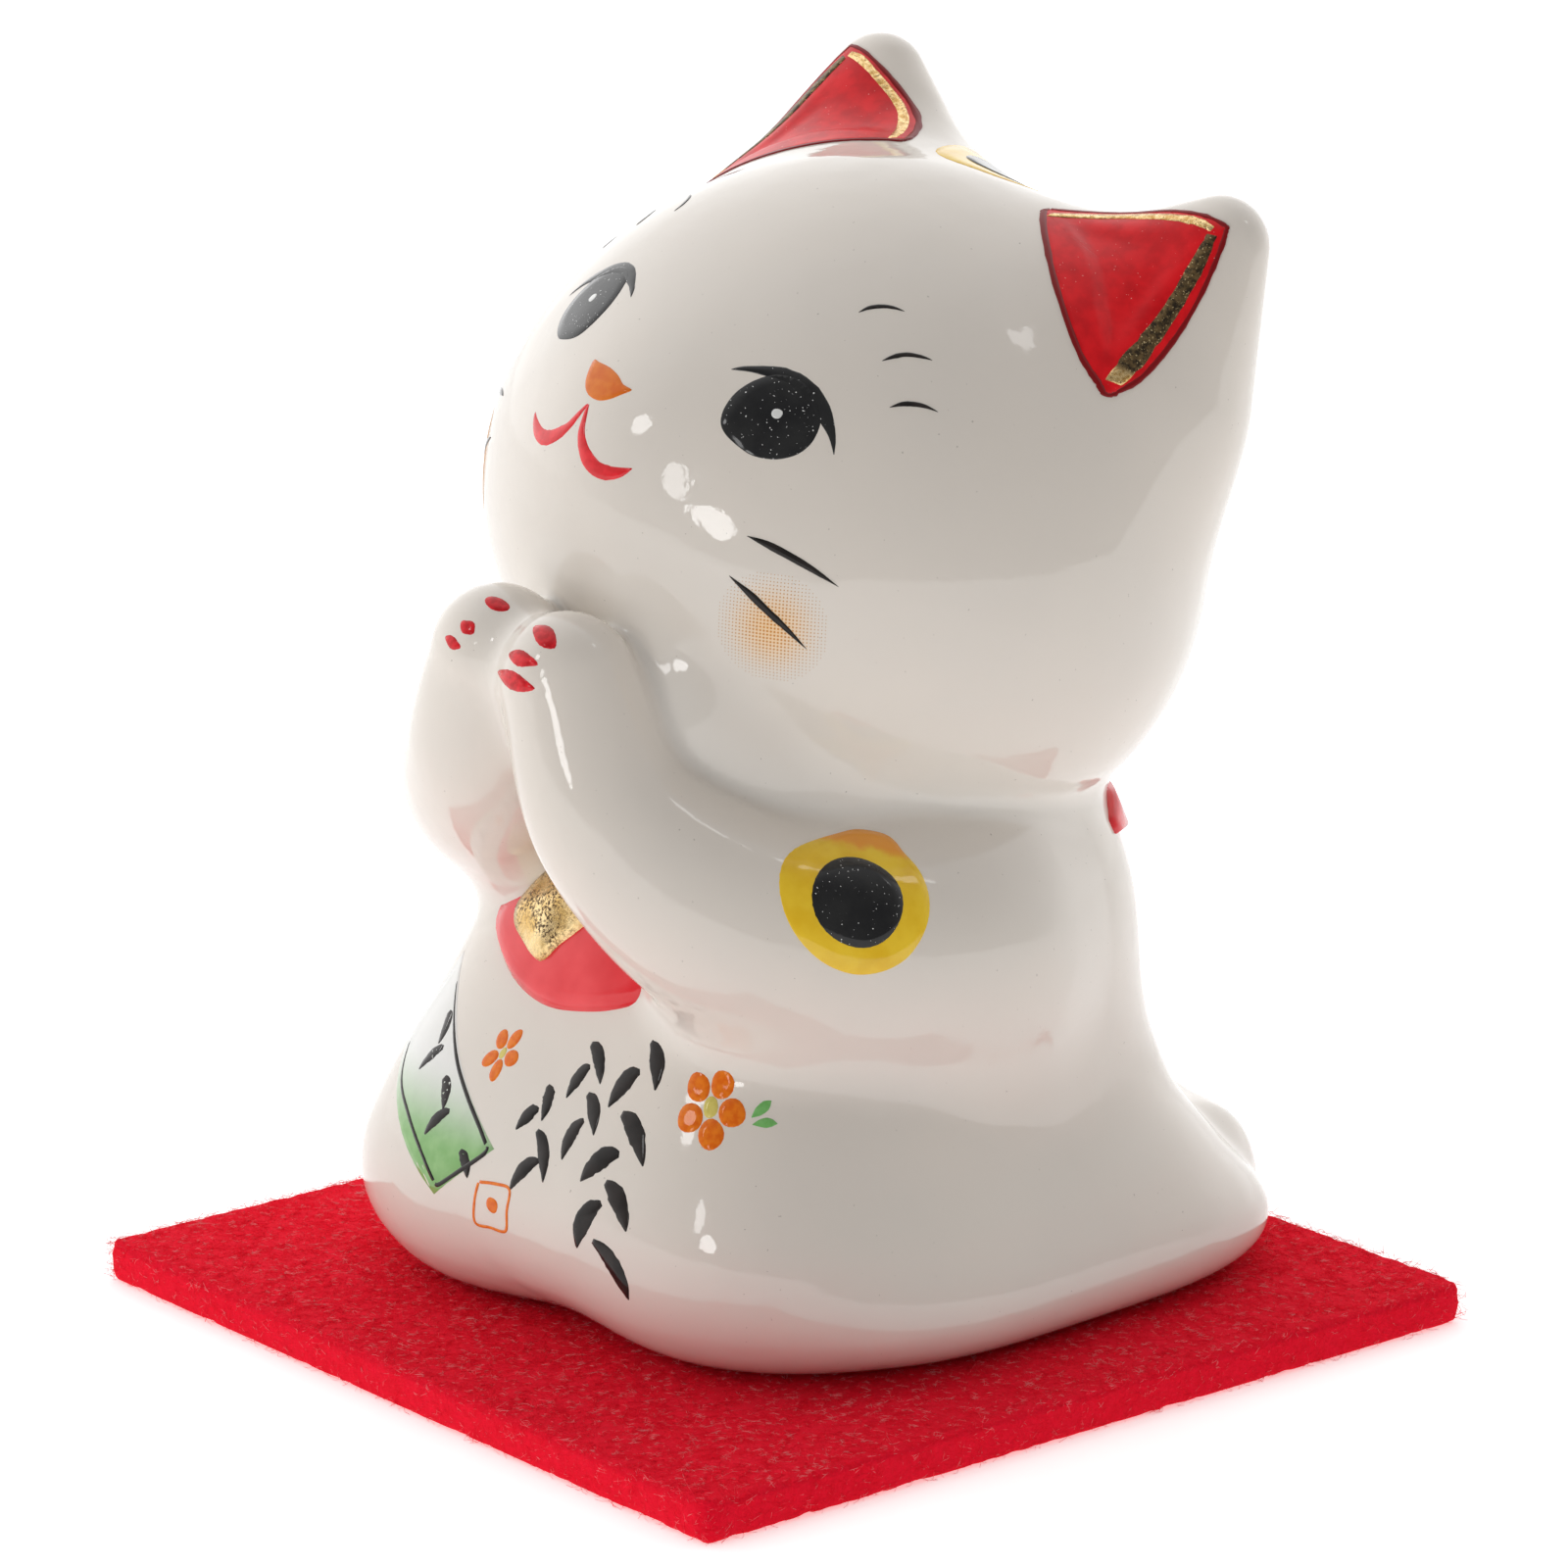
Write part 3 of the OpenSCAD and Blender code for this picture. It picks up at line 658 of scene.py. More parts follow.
def felt():
    s = Shader("red_felt")
    tufts = s.step(s.noise(0.55, 5, 0.65), 0.3, 0.7)
    patches = s.step(s.noise(5, 3), 0.35, 0.65)
    tone = s.mix(tufts, (0.90, 0.004, 0.022), (1.0, 0.006, 0.032))
    tone = s.mix(s.math("MULTIPLY", patches, 0.25), tone, (1.0, 0.009, 0.038))
    nap = s.bump(s.noise(0.35, 5, 0.7), 0.2)
    return s.surface(Base_Color=tone, Roughness=0.95, Specular_IOR_Level=0.08, Sheen_Weight=0.2,
                     Sheen_Roughness=0.5, Sheen_Tint=(1.0, 0.12, 0.15), Normal=nap)


def lint():
    s = Shader("felt_fibre")
    tone = s.mix(s.step(s.noise(0.7, 2), 0.50, 0.68), (1.0, 0.012, 0.042), (1.0, 0.28, 0.30))
    return s.surface(Base_Color=tone, Roughness=0.8, Specular_IOR_Level=0.1)


# --- places on the skin


class Place:
    """Turns millimetres across and up from a spot into points on the skin.

    The skin is looked for along each ray, from near to far in millimetres.
    """

    def __init__(self, rays, near, far, field=None):
        self.rays, self.near, self.far, self.field = rays, near, far, field or skin

    def __call__(self, uv, rounds=16):
        origin, direction = self.rays(uv)
        a, b = (np.full(direction.shape[:-1], float(v)) for v in (self.near, self.far))
        for _ in range(rounds):
            m = (a + b) / 2
            inside = self.field(origin + direction * m[..., None]) < 0
            a, b = np.where(inside, m, a), np.where(inside, b, m)
        return origin + direction * a[..., None]


def aim(c, uv, r):
    """Directions to places across and up from c, which is degrees round and up."""
    az, el = math.radians(c[0]), math.radians(c[1])
    e = np.array([math.cos(az), math.sin(az), 0])
    f = np.array([-math.sin(az) * math.sin(el), math.cos(az) * math.sin(el), math.cos(el)])
    q = r * facing(*c) + uv[..., :1] * e + uv[..., 1:] * f
    return q / np.linalg.norm(q, axis=-1, keepdims=True)


def on_head(c):
    """c is a place on the head in degrees."""
    return Place(lambda uv: (HEAD_C, aim(c, uv, HEAD_R[1]) @ TILT.T), 15, 42)


TORSO_DEGREES_PER_MM = 2.1


def on_torso(c, field=None):
    """c is degrees round from the front, and height."""
    def rays(uv):
        a = np.radians(c[0] + uv[..., 0] * TORSO_DEGREES_PER_MM)
        origin = np.stack([0 * a, 0 * a + TORSO_AXIS[1], c[1] + uv[..., 1]], -1)
        return origin, np.stack([np.sin(a), -np.cos(a), 0 * a], -1)
    return Place(rays, 8, 40, field)


def on_arm(c, path, t):
    """c is degrees round and up, seen from the arm's centre line at t."""
    centre = along(path, np.array(float(t)))
    return Place(lambda uv: (centre[:3], aim(c, uv, centre[3])), 1, 14)


def on_ear(side):
    """Across and up in the head's axes, over the front of one ear."""
    def rays(uv):
        start = np.stack([side * uv[..., 0], 0 * uv[..., 0] + 3.0, uv[..., 1]], -1)
        origin = HEAD_C + start @ TILT.T
        return origin, np.broadcast_to(np.array([0, -1.0, 0]) @ TILT.T, origin.shape)
    return Place(rays, 0, 16)


# --- fired coats

# A coat stands COAT_T proud and reaches SINK into the glaze; its edge dips by RIM_DIP
COAT_T, SINK, RIM_DIP = 0.035, 0.07, 0.015
RNG = np.random.default_rng(23)


class Coat:
    """Closed thin layers that follow the skin, gathered into one piece."""

    def __init__(self):
        self.layers, self.faces, self.count = [], [], 0

    def layer(self, place, uv, height, around, level=0.0):
        """uv and height are grids; a grid with around=True is rings from the middle out."""
        n, m = height.shape
        if around:
            uv = np.concatenate([np.repeat(uv.mean(1, keepdims=True)[:1], m, 1), uv])
            height = np.concatenate([height[:1], height])
            n += 1
        self.layers.append((place, uv.reshape(-1, 2), height.reshape(-1, 1), level))
        base, low = self.count, n * m
        index = np.arange(n * m).reshape(n, m)
        if around:
            index[0] = 0
        for i in range(n - 1):
            for j in range(m if around else m - 1):
                k = (j + 1) % m
                quad = [index[i, j], index[i + 1, j], index[i + 1, k], index[i, k]]
                quad = list(dict.fromkeys(base + int(v) for v in quad))
                self.faces += [quad, [low + v for v in reversed(quad)]]
        rim = list(range((n - 1) * m, n * m)) if around else grid_rim(n, m)
        for a, b in zip(rim, rim[1:] + rim[:1]):
            self.faces.append([base + v for v in (b, a, a + low, b + low)])
        self.count += 2 * n * m

    def settle_on_skin(self):
        """All the layers' points and their attribute, worked out together for each place."""
        points, spots = [None] * len(self.layers), []
        for place in dict.fromkeys(layer[0] for layer in self.layers):
            mine = [k for k, layer in enumerate(self.layers) if layer[0] is place]
            p = place(np.concatenate([self.layers[k][1] for k in mine]))
            out = unit(slope(place.field, p))
            at = 0
            for k in mine:
                height = self.layers[k][2]
                q, n = p[at:at + len(height)], out[at:at + len(height)]
                points[k] = np.concatenate([q + n * height, q - n * SINK])
                at += len(height)
        for _, uv, _, level in self.layers:
            spots += [np.concatenate([uv, np.full((len(uv), 1), float(level))], 1)] * 2
        return np.concatenate(points), np.concatenate(spots)

    def blot(self, place, outline, t=COAT_T, level=0.0, centre=None, dome=0.0, rings=4,
             edge=0.09):
        """Filled shape; its middle may rise by a dome."""
        outline = np.array(outline, float)
        middle = outline.mean(0) if centre is None else np.array(centre, float)
        reach = np.linalg.norm(outline - middle, axis=1)
        inner = np.clip(1 - edge / np.maximum(reach, 1e-6), 0.3, 1)
        out = (np.arange(rings) + 1) / rings
        rows = middle + (outline - middle) * (inner * out[:, None])[..., None]
        height = np.append(t + dome * (1 - out ** 2), -RIM_DIP)
        height = np.repeat(height[:, None], len(outline), 1)
        self.layer(place, np.concatenate([rows, outline[None]]), height, True, level)
        return self

    def stroke(self, place, line, widths, t=COAT_T, steps=14, level=0.0, wobble=0.03):
        """Brush stroke along a smooth line whose width changes on the way."""
        line, widths = np.array(line, float), np.array(widths, float)
        table = np.concatenate([line, widths[:, None]], 1)
        smooth = along(table, np.linspace(0, len(line) - 1, steps + 1))
        d = unit(np.gradient(smooth[:, :2], axis=0))
        w = np.maximum(smooth[:, 2], 0.02)[:, None] / 2
        w = w * (1 + wobble * RNG.standard_normal(w.shape))
        side = np.stack([-d[:, 1], d[:, 0]], 1)
        across = w * np.array([-1, -0.8, 0, 0.8, 1])
        uv = smooth[:, None, :2] + side[:, None] * across[..., None]
        height = np.full(uv.shape[:2], t)
        height[:, 0] = height[:, -1] = -RIM_DIP
        height[0] = height[-1] = -RIM_DIP
        self.layer(place, uv[:, ::-1], height, False, level)
        return self

    def make(self, node, slot, material, name=None):
        points, spots = self.settle_on_skin()
        obj = make_object(name or node + "_coat", to_metres(points), self.faces)
        spot = obj.data.attributes.new("spot", "FLOAT_VECTOR", "POINT")
        spot.data.foreach_set("vector", spots.ravel())
        obj.data.materials.append(material)
        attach(obj, BODY)
        if node:
            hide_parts(node)


def oval(size, turn=0.0, at=(0, 0), power=2.0, n=28, wobble=0.0):
    """Closed outline of an oval, squarer as its power rises."""
    a = np.linspace(0, 2 * math.pi, n, endpoint=False)
    c, s = np.cos(a), np.sin(a)
    r = (np.abs(c) ** power + np.abs(s) ** power) ** (-1 / power)
    if wobble:
        phase = RNG.uniform(0, 2 * math.pi, 3)
        r = r * (1 + wobble * sum(np.sin(a * (k + 2) + phase[k]) for k in range(3)) / 2)
    x, y = r * c * size[0] / 2, r * s * size[1] / 2
    return turned(np.stack([x, y], 1), turn) + at


def turned(points, degrees):
    c, s = math.cos(math.radians(degrees)), math.sin(math.radians(degrees))
    return np.array(points, float) @ [[c, s], [-s, c]]


def rounded(corners, steps=6):
    """Smooth closed outline through a few points."""
    c = np.array(corners, float)
    k = len(c)
    table = np.concatenate([c[-3:], c, c[:3]])
    return along(table, 3 + np.arange(k * steps) / steps)


def flip(points, side):
    """Mirrors a shape for the cat's right side, and turns it the other way round again."""
    return (np.array(points, float) * [side, 1])[::side]


# Places are degrees round and up or, on the torso, degrees and mm of height.
# Outlines, lines and widths are in mm.
# Falling leaf-like strokes: first and last place, how many, and their size
BRUSHWORK = [
    (17.6, 21.0, 16.6, 7.8, 7, 1.5), (6.4, 20.2, 10.4, 15.6, 4, 1.2),
    (-0.6, 17.0, 3.2, 12.4, 4, 1.15), (-11.5, 11.6, -30.0, 19.2, 5, 1.1),
]
BLUSH_AT = {1: (36.2, -20.5), -1: (-51, -20.5)}
BLUSH_R, DOT_PITCH, DOT_T, DOT_TURN, DOT_ROWS = 3.75, 0.235, 0.012, 20, 22
EYE_AT = {1: (22.3, 9.3), -1: (-28.4, 11.5)}
EYE_SIZE, EYE_LIGHT = {1: (1, 1), -1: (0.93, 1.1)}, (0.9, 0.85)
# What lies over another print stands this much prouder
OVER = 0.02
EYE = [(-3.3, -2.1), (-3.55, -1.1), (-3.4, 0.2), (-2.7, 1.5), (-1.5, 2.6), (0.2, 2.9), (1.8, 2.3),
       (2.9, 1.1), (3.2, -0.2), (3.05, -1.2), (2.5, -2.1), (1.4, -2.9), (-0.1, -3.3), (-1.6, -3.1),
       (-2.7, -2.7)]
LID = [(-4.8, 1.4), (-4.0, 1.85), (-3.1, 2.2), (-2.1, 2.5), (-0.9, 2.75), (0.6, 2.65), (2.0, 2.1),
       (3.1, 1.3), (4.2, 0.3), (5.0, -0.9)]
LID_W = [0, 0.4, 0.6, 0.95, 1.15, 1.3, 1.3, 1.1, 0.55, 0]
NOSE_AT = (-7.2, 0.9)
NOSE = [(-2.35, 1.1), (-1.7, 1.15), (-0.3, 1.2), (0.85, 1.0), (1.7, 0.65), (2.6, 0.6), (2.1, 0.0),
        (1.5, -0.6), (0.8, -1.0), (0, -1.1), (-0.8, -0.95), (-1.5, -0.5), (-2.0, 0.2)]
MOUTH_AT = (-7.2, -5)
MOUTH = [(0.0, 1.1), (0.35, 0.1), (0.7, -0.75), (1.3, -1.45), (2.15, -2.05), (3.1, -2.35),
         (4.1, -2.25), (5.0, -1.85), (5.7, -1.3)]
MOUTH_W = [0.15, 0.45, 0.65, 0.85, 1.05, 1.1, 1.0, 0.65, 0]
BROWS = [((29, 34), [(-1.6, -1.1), (-1.1, -0.35), (-0.35, 0.2), (0.45, 0.5), (1.35, 0.6)]),
         ((38, 27), [(-1.8, -0.9), (-1.15, -0.2), (-0.4, 0.35), (0.6, 0.65), (1.45, 0.75)]),
         ((42, 19.5), [(-1.55, -0.65), (-0.85, -0.05), (-0.1, 0.3), (0.75, 0.5), (1.7, 0.5)])]
MARK_WIDTHS = np.array([0, 0.9, 1, 0.75, 0])
BROW_WIDTH, WHISKER_WIDTH = 0.38, 0.52
# Azimuth that the marks of the two sides mirror about, doubled
MIRROR = -14.5
WHISKERS_AT = (35, -12)
WHISKERS = [[(-3.5, 1.05), (-2, 1.17), (-0.1, 1.13), (1.6, 0.98), (3.45, 0.7)],
            [(-3.5, -1.8), (-1.7, -2.25), (-0.25, -2.72), (1.4, -3.27), (3.2, -4.0)]]
EAR = [(7.3, 23.8), (7.6, 24.0), (9.2, 25.0), (11.5, 26.1), (14.5, 27.3), (17.2, 28.0), (18.9, 28.0),
       (19.2, 27.7), (19.7, 26.2), (20.4, 23.0), (20.9, 19.2), (21.2, 16.4), (21.0, 14.9),
       (20.9, 14.4), (20.6, 14.3), (20.0, 14.8), (18.4, 15.9), (15.0, 18.6), (10.9, 21.5),
       (7.6, 23.4), (7.3, 23.6)]
GILT_TOP = [(7.8, 23.3), (9.4, 24.4), (11.6, 25.6), (14.5, 26.7), (17.0, 27.4), (18.6, 27.4)]
GILT_TOP_W = [0.4, 0.55, 0.5, 0.56, 0.66, 0.45]
GILT_SIDE = [(18.6, 27.3), (19.1, 25.0), (19.5, 22.4), (19.9, 19.4), (20.3, 16.8), (20.5, 15.0)]
GILT_SIDE_W = [0.7, 1.0, 1.1, 1.1, 1.15, 0.8]
TORSO_FRONT = (-3, 29)
BIB = [(-3.0, 6.5), (-8.2, 3.2), (-12.6, -0.2), (-12.8, -2.6), (-9.4, -4.6), (-5.6, -5.9),
       (-2.0, -6.4), (1.6, -6.1), (5.2, -5.4), (8.2, -4.2), (9.8, -1.6), (8.6, 2.0), (4.4, 5.4),
       (0.6, 7.0)]
BELL = [(-4.2, 5.0), (-7.4, 2.2), (-9.4, -0.6), (-8.9, -2.2), (-6.8, -3.3), (-4.0, -4.2), (-2.2, -2.9),
        (-0.4, -1.6), (1.6, 0.4), (1.4, 3.0), (-1.0, 5.4)]
LEFT_CLAWS = [((16, 52.5), (3.2, 1.45), -35), ((-1, 28), (3.1, 1.2), -4), ((-6, 8), (4.8, 1.3), -4)]
RIGHT_CLAWS = [((46, 57), (2.1, 1.3), -38), ((16, 32), (1.5, 1.05), -30), ((3, 17), (1.8, 0.85), -18)]
# How far along an arm's points the paw and the patch are
PAW, SPOT_ALONG = 4, 1.4
SPOT_AT = (49, 36)
ARM_SPOT = [(0.8, 7.3), (-0.7, 7.1), (-1.9, 6.1), (-3.5, 4.2), (-4.6, 1.9), (-4.75, -0.6), (-4.2, -2.8),
            (-2.9, -4.6), (-0.9, -5.6), (1.4, -5.4), (3.3, -4.2), (4.6, -1.9), (4.9, 0.6), (4.3, 3.0),
            (3.2, 4.8), (2.7, 6.1), (2.0, 7.0)]
HEAD_SPOT_AT, HEAD_SPOT, HEAD_SPOT_CENTRE = (-130, 84), ((10.4, 8.6), 20), ((5.6, 4.6), 20)
TAG_AT = (-20, 15.5)
TAG = [(7.0, -2.1), (2.1, -6.6), (-4.3, -1.9), (-10.0, 2.2), (-8.0, 8.0), (-0.5, 2.7)]
TAG_LINES = [
    ([(-6.4, 6.6), (-3.0, 4.15), (-0.2, 2.2), (2.3, 0.65), (4.8, -0.95), (6.3, -2.1)],
     [0.1, 0.2, 0.3, 0.32, 0.34, 0.34], 24),
    ([(6.35, -2.0), (6.2, -2.6), (4.4, -4.2), (2.6, -5.7), (2.2, -5.7)],
     [0.3, 0.34, 0.34, 0.34, 0.3], 20),
    ([(2.3, -5.8), (0.3, -3.9), (-2.3, -2.05), (-5.2, -0.5), (-8.2, 1.7)],
     [0.34, 0.3, 0.3, 0.24, 0.12], 20),
]
SEAL_AT = (-3.7, 9.7)
SEAL = [(-1.45, 1.3), (0.1, 1.55), (1.5, 1.5), (1.45, 0), (1.2, -1.6), (-0.3, -1.75),
        (-1.75, -1.8), (-1.7, -0.3), (-1.45, 1.3)]
LEAF_WIDTHS = np.array([0.25, 0.82, 0.95, 0.6, 0.04])
PETAL_TURNS = [54, 126, 198, 270, 342]
# Place, distance to the petals, petal size and the centre's size
FLOWERS = {
    "large_flower": ((30.7, 19.3), 1.62, (1.8, 1.95), 1.35),
    "small_flower": ((-12.1, 19.1), 1.12, (1.1, 1.5), 0.8),
}
LEAVES_AT = (38.5, 19)
LEAVES = [([(-0.85, -0.1), (-0.4, 0.3), (0.1, 0.7), (0.45, 1.0)], [0, 0.62, 0.68, 0]),
          ([(-0.75, -0.5), (-0.2, -0.38), (0.4, -0.35), (0.95, -0.4)], [0, 0.5, 0.62, 0])]
# The sweep is the collar's two ends, in mm round the back of the neck
COLLAR_AT, COLLAR_SWEEP, COLLAR_W, COLLAR_T = (180, 34.4), (-29.3, 34.5), 2.9, 0.85


def paint_blush(side):
    """Halftone disc whose dots shrink towards its rim."""
    coat, place = Coat(), on_head(BLUSH_AT[side])
    for i in range(-DOT_ROWS, DOT_ROWS + 1):
        for j in range(-DOT_ROWS, DOT_ROWS + 1):
            at = turned((i, j), DOT_TURN * side) * DOT_PITCH
            r = np.linalg.norm(at) / BLUSH_R
            size = 2 * DOT_PITCH * (0.38 - 0.26 * max(r - 0.3, 0))
            if r < 1:
                coat.blot(place, oval((size, size), n=6, at=at), DOT_T, 1 - r, rings=1, edge=0.02)
    return coat


def paint_face():
    black = enamel("eye_black", (0.012, 0.012, 0.013), (0.022, 0.022, 0.022), flecks=0.085,
                   shine=0.35)
    line_black = enamel("line_black", (0.012, 0.010, 0.009), (0.03, 0.024, 0.022), shine=0.25)
    red = enamel("mouth_red", (0.66, 0.008, 0.014), (0.84, 0.018, 0.028), 0.8)
    orange = enamel("nose_orange", (0.68, 0.13, 0.004), (0.76, 0.20, 0.015), 1.2, shine=0.3)
    white = enamel("eye_light", (0.72, 0.72, 0.70), (0.8, 0.8, 0.78))
    ink = blush_ink()
    for name, side in (("left", 1), ("right", -1)):
        place, size = on_head(EYE_AT[side]), EYE_SIZE[side]
        coat = Coat().blot(place, flip(rounded(EYE), side) * size, centre=(-0.2 * side, -0.2))
        coat.stroke(place, flip(LID, side) * size, LID_W[::side], steps=26)
        coat.make(name + "_eye", "black_enamel", black)
        dot = Coat().blot(place, oval(EYE_LIGHT, n=14, wobble=0.05), COAT_T + OVER)
        dot.make(None, "white_glaze", white, name + "_eye_light")
        whiskers = [(WHISKERS_AT, line) for line in WHISKERS]
        for marks, node, width, t in (
            (BROWS, "_brow_marks", BROW_WIDTH, COAT_T),
            (whiskers, "_whiskers", WHISKER_WIDTH, COAT_T + OVER),
        ):
            coat = Coat()
            for (az, el), line in marks:
                place = on_head((az if side > 0 else MIRROR - az, el))
                coat.stroke(place, flip(line, side), (width * MARK_WIDTHS)[::side], t, steps=16)
            coat.make(name + node, "black_enamel", line_black)
        paint_blush(side).make(name + "_cheek_blush", "blush_print", ink)
    Coat().blot(on_head(NOSE_AT), rounded(NOSE, 3)[::-1]).make("nose", "orange_enamel", orange)
    coat = Coat()
    for side in (1, -1):
        coat.stroke(on_head(MOUTH_AT), flip(MOUTH, side), MOUTH_W[::side], steps=26)
    coat.make("mouth", "red_enamel", red)
    yellow = spot_yellow()
    place = on_head(HEAD_SPOT_AT)
    coat = Coat().blot(place, oval(*HEAD_SPOT, wobble=0.05), dome=0.03)
    coat.make("head_spot", "yellow_enamel", yellow)
    coat = Coat().blot(place, oval(*HEAD_SPOT_CENTRE, wobble=0.06), COAT_T + 0.06)
    coat.make("head_spot_centre", "black_enamel", black)
    return line_black, yellow, black


def paint_ears():
    lining = enamel("ear_red", (0.60, 0.003, 0.008), (0.80, 0.008, 0.014), 1.6, flecks=0.05,
                    fleck=(0.9, 0.5, 0.45), rough=0.32, shine=0.22, line=(0.22, 0.004, 0.006))
    metal = ear_gold()
    for name, side in (("left", 1), ("right", -1)):
        place = on_ear(side)
        coat = Coat().blot(place, rounded(EAR, 4)[::-side], 0.09, rings=12)
        rim = rounded(EAR, 2)
        rim = np.concatenate([rim, rim[:1]])
        coat.stroke(place, rim[::side], np.full(len(rim), 0.3), 0.1, steps=120, level=1,
                    wobble=0.12)
        coat.make(name + "_ear_lining", "red_enamel", lining)
        coat = Coat()
        for level, line, w in ((0, GILT_TOP, GILT_TOP_W), (1, GILT_SIDE, GILT_SIDE_W)):
            coat.stroke(place, line[::side], w[::side], 0.14, steps=30, level=level, wobble=0.06)
        coat.make(name + "_ear_gilding", "gold_lustre", metal)


def paint_reliefs():
    """Bib, bell and collar: thick coats on the torso itself, under the arms."""
    relief = enamel("bib_red", (0.74, 0.018, 0.026), (0.88, 0.055, 0.065), 5)
    lustre = gold("bell_lustre", (0.66, 0.42, 0.14), (0.90, 0.68, 0.36), 0.2)
    place = on_torso(TORSO_FRONT, torso_field)
    coat = Coat().blot(place, rounded(BIB, 4), 0.6, dome=0.6, rings=8, edge=0.7)
    coat.make("bib", "red_enamel", relief)
    coat = Coat().blot(place, rounded(BELL, 4), 1.45, dome=0.8, rings=8, edge=0.4)
    coat.make("bell", "gold_lustre", lustre)
    first, last = COLLAR_SWEEP
    sweep = np.linspace(first, last, 81)
    line = np.stack([sweep, np.interp(sweep, (first, -18), (-0.8, 0))], 1)
    full = np.interp(sweep, (first, -25, 30, last), (0.35, 1, 1, 0.35))
    coat = Coat().stroke(on_torso(COLLAR_AT, body_skin), line, COLLAR_W * full,
                         COLLAR_T * full[:, None], steps=80, wobble=0.01)
    coat.make("collar", "red_enamel", relief)


def paint_arms(yellow, black):
    claw = enamel("claw_red", (0.50, 0.005, 0.010), (0.78, 0.018, 0.028), 0.5, shine=0.35)
    for name, path, marks in (("left", LEFT_ARM, LEFT_CLAWS), ("right", RIGHT_ARM, RIGHT_CLAWS)):
        coat = Coat()
        for c, size, turn in marks:
            coat.blot(on_arm(c, path, PAW), oval(size, turn, power=1.6, wobble=0.08, n=20), rings=2)
        coat.make(name + "_claws", "red_enamel", claw)
    place = on_arm(SPOT_AT, LEFT_ARM, SPOT_ALONG)
    coat = Coat().blot(place, rounded(ARM_SPOT, 5)[::-1], rings=6)
    coat.make("arm_spot", "yellow_enamel", yellow)
    centre = oval((5.8, 6.7), at=(-0.4, -0.15), wobble=0.025, n=36)
    Coat().blot(place, centre, COAT_T + 0.03).make("arm_spot_centre", "black_enamel", black)


def paint_flowers(orange):
    for node, (c, r, petal, _) in FLOWERS.items():
        coat = Coat()
        for a in np.radians(PETAL_TURNS) + 0.2:
            at = (r * math.cos(a) * 0.96, r * math.sin(a))
            petal_at = oval(petal, math.degrees(a) - 90, at, n=18, wobble=0.03)
            coat.blot(on_torso(c), petal_at, rings=2)
        coat.make(node, "orange_enamel", orange)
    pollen = enamel("flower_yellow", (0.62, 0.52, 0.10), (0.72, 0.60, 0.16), 0.5)
    for node, (c, _, _, r) in FLOWERS.items():
        coat = Coat()
        coat.blot(on_torso(c), oval((r / 1.2, r), n=16, wobble=0.03), COAT_T + 0.01, rings=2)
        coat.make(node + "_centre", "yellow_enamel", pollen)
    leaf = enamel("leaf_green", (0.14, 0.42, 0.10), (0.20, 0.50, 0.15), 0.6)
    coat = Coat()
    for line, widths in LEAVES:
        coat.stroke(on_torso(LEAVES_AT), line, widths)
    coat.make("flower_leaves", "green_enamel", leaf)


def paint_prints(orange, line_black):
    """The tag, the seal and the falling strokes."""
    outline = []
    for a, b in zip(TAG, TAG[1:] + TAG[:1]):
        outline += [np.array(a) + (np.array(b) - a) * k / 6 for k in range(6)]
    coat = Coat().blot(on_torso(TAG_AT), outline[::-1], rings=8)
    coat.make("tag_panel", "green_enamel", tag_green())
    coat = Coat()
    for line, widths, steps in TAG_LINES:
        coat.stroke(on_torso(TAG_AT), line, widths, COAT_T + OVER, steps=steps)
    coat.make("tag_outline", "black_enamel", line_black)

    place = on_torso(SEAL_AT)
    coat = Coat().stroke(place, SEAL[::-1], np.full(len(SEAL), 0.24), steps=48)
    coat.blot(place, oval((1.15, 1.2), n=16, wobble=0.05), rings=2)
    coat.make("seal", "orange_enamel", orange)

    coat = Coat()
    for a0, z0, a1, z1, count, size in BRUSHWORK:
        for k in range(count):
            t = (k + 0.12 * RNG.standard_normal()) / max(count - 1, 1)
            lean = -1 if k % 2 else 1
            place = on_torso((a0 + (a1 - a0) * t + lean * 1.3 * size, z0 + (z1 - z0) * t))
            turn = math.radians(-90 + lean * (38 + 9 * RNG.standard_normal()))
            d = np.array([math.cos(turn), math.sin(turn)])
            d = d * size * (1.25 + 0.15 * RNG.standard_normal())
            side = np.array([-d[1], d[0]]) * 0.22 * lean
            line = [-d, -0.55 * d + side, side * 1.15, 0.55 * d + side * 0.7, d]
            coat.stroke(place, line, size * LEAF_WIDTHS, steps=16, wobble=0.05)
    coat.make("brush_strokes", "black_enamel", line_black)


# --- felt

# Points along the slab's side; how far its nap rises and its rim falls and frays
SLAB_GRID, NAP, RIM_FALL, FRAY, RIM_WIDTH = 161, 0.09, 0.28, 0.0035, 0.015
SIDE_LEVELS = (0.86, 0.68, 0.5, 0.32, 0.14)
FIBRES, STRAYS, STEPS = 13300, 40, 3
LONG_HAIR = [(28.6, -32.0, MAT_T), (31.0, -33.6, MAT_T + 0.25), (33.8, -34.9, MAT_T + 0.05)]


def felt_piece(name, points, faces, shader):
    obj = make_object(name, points * MM, faces)
    obj.data.materials.append(shader)
    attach(obj, "mat")
    return obj


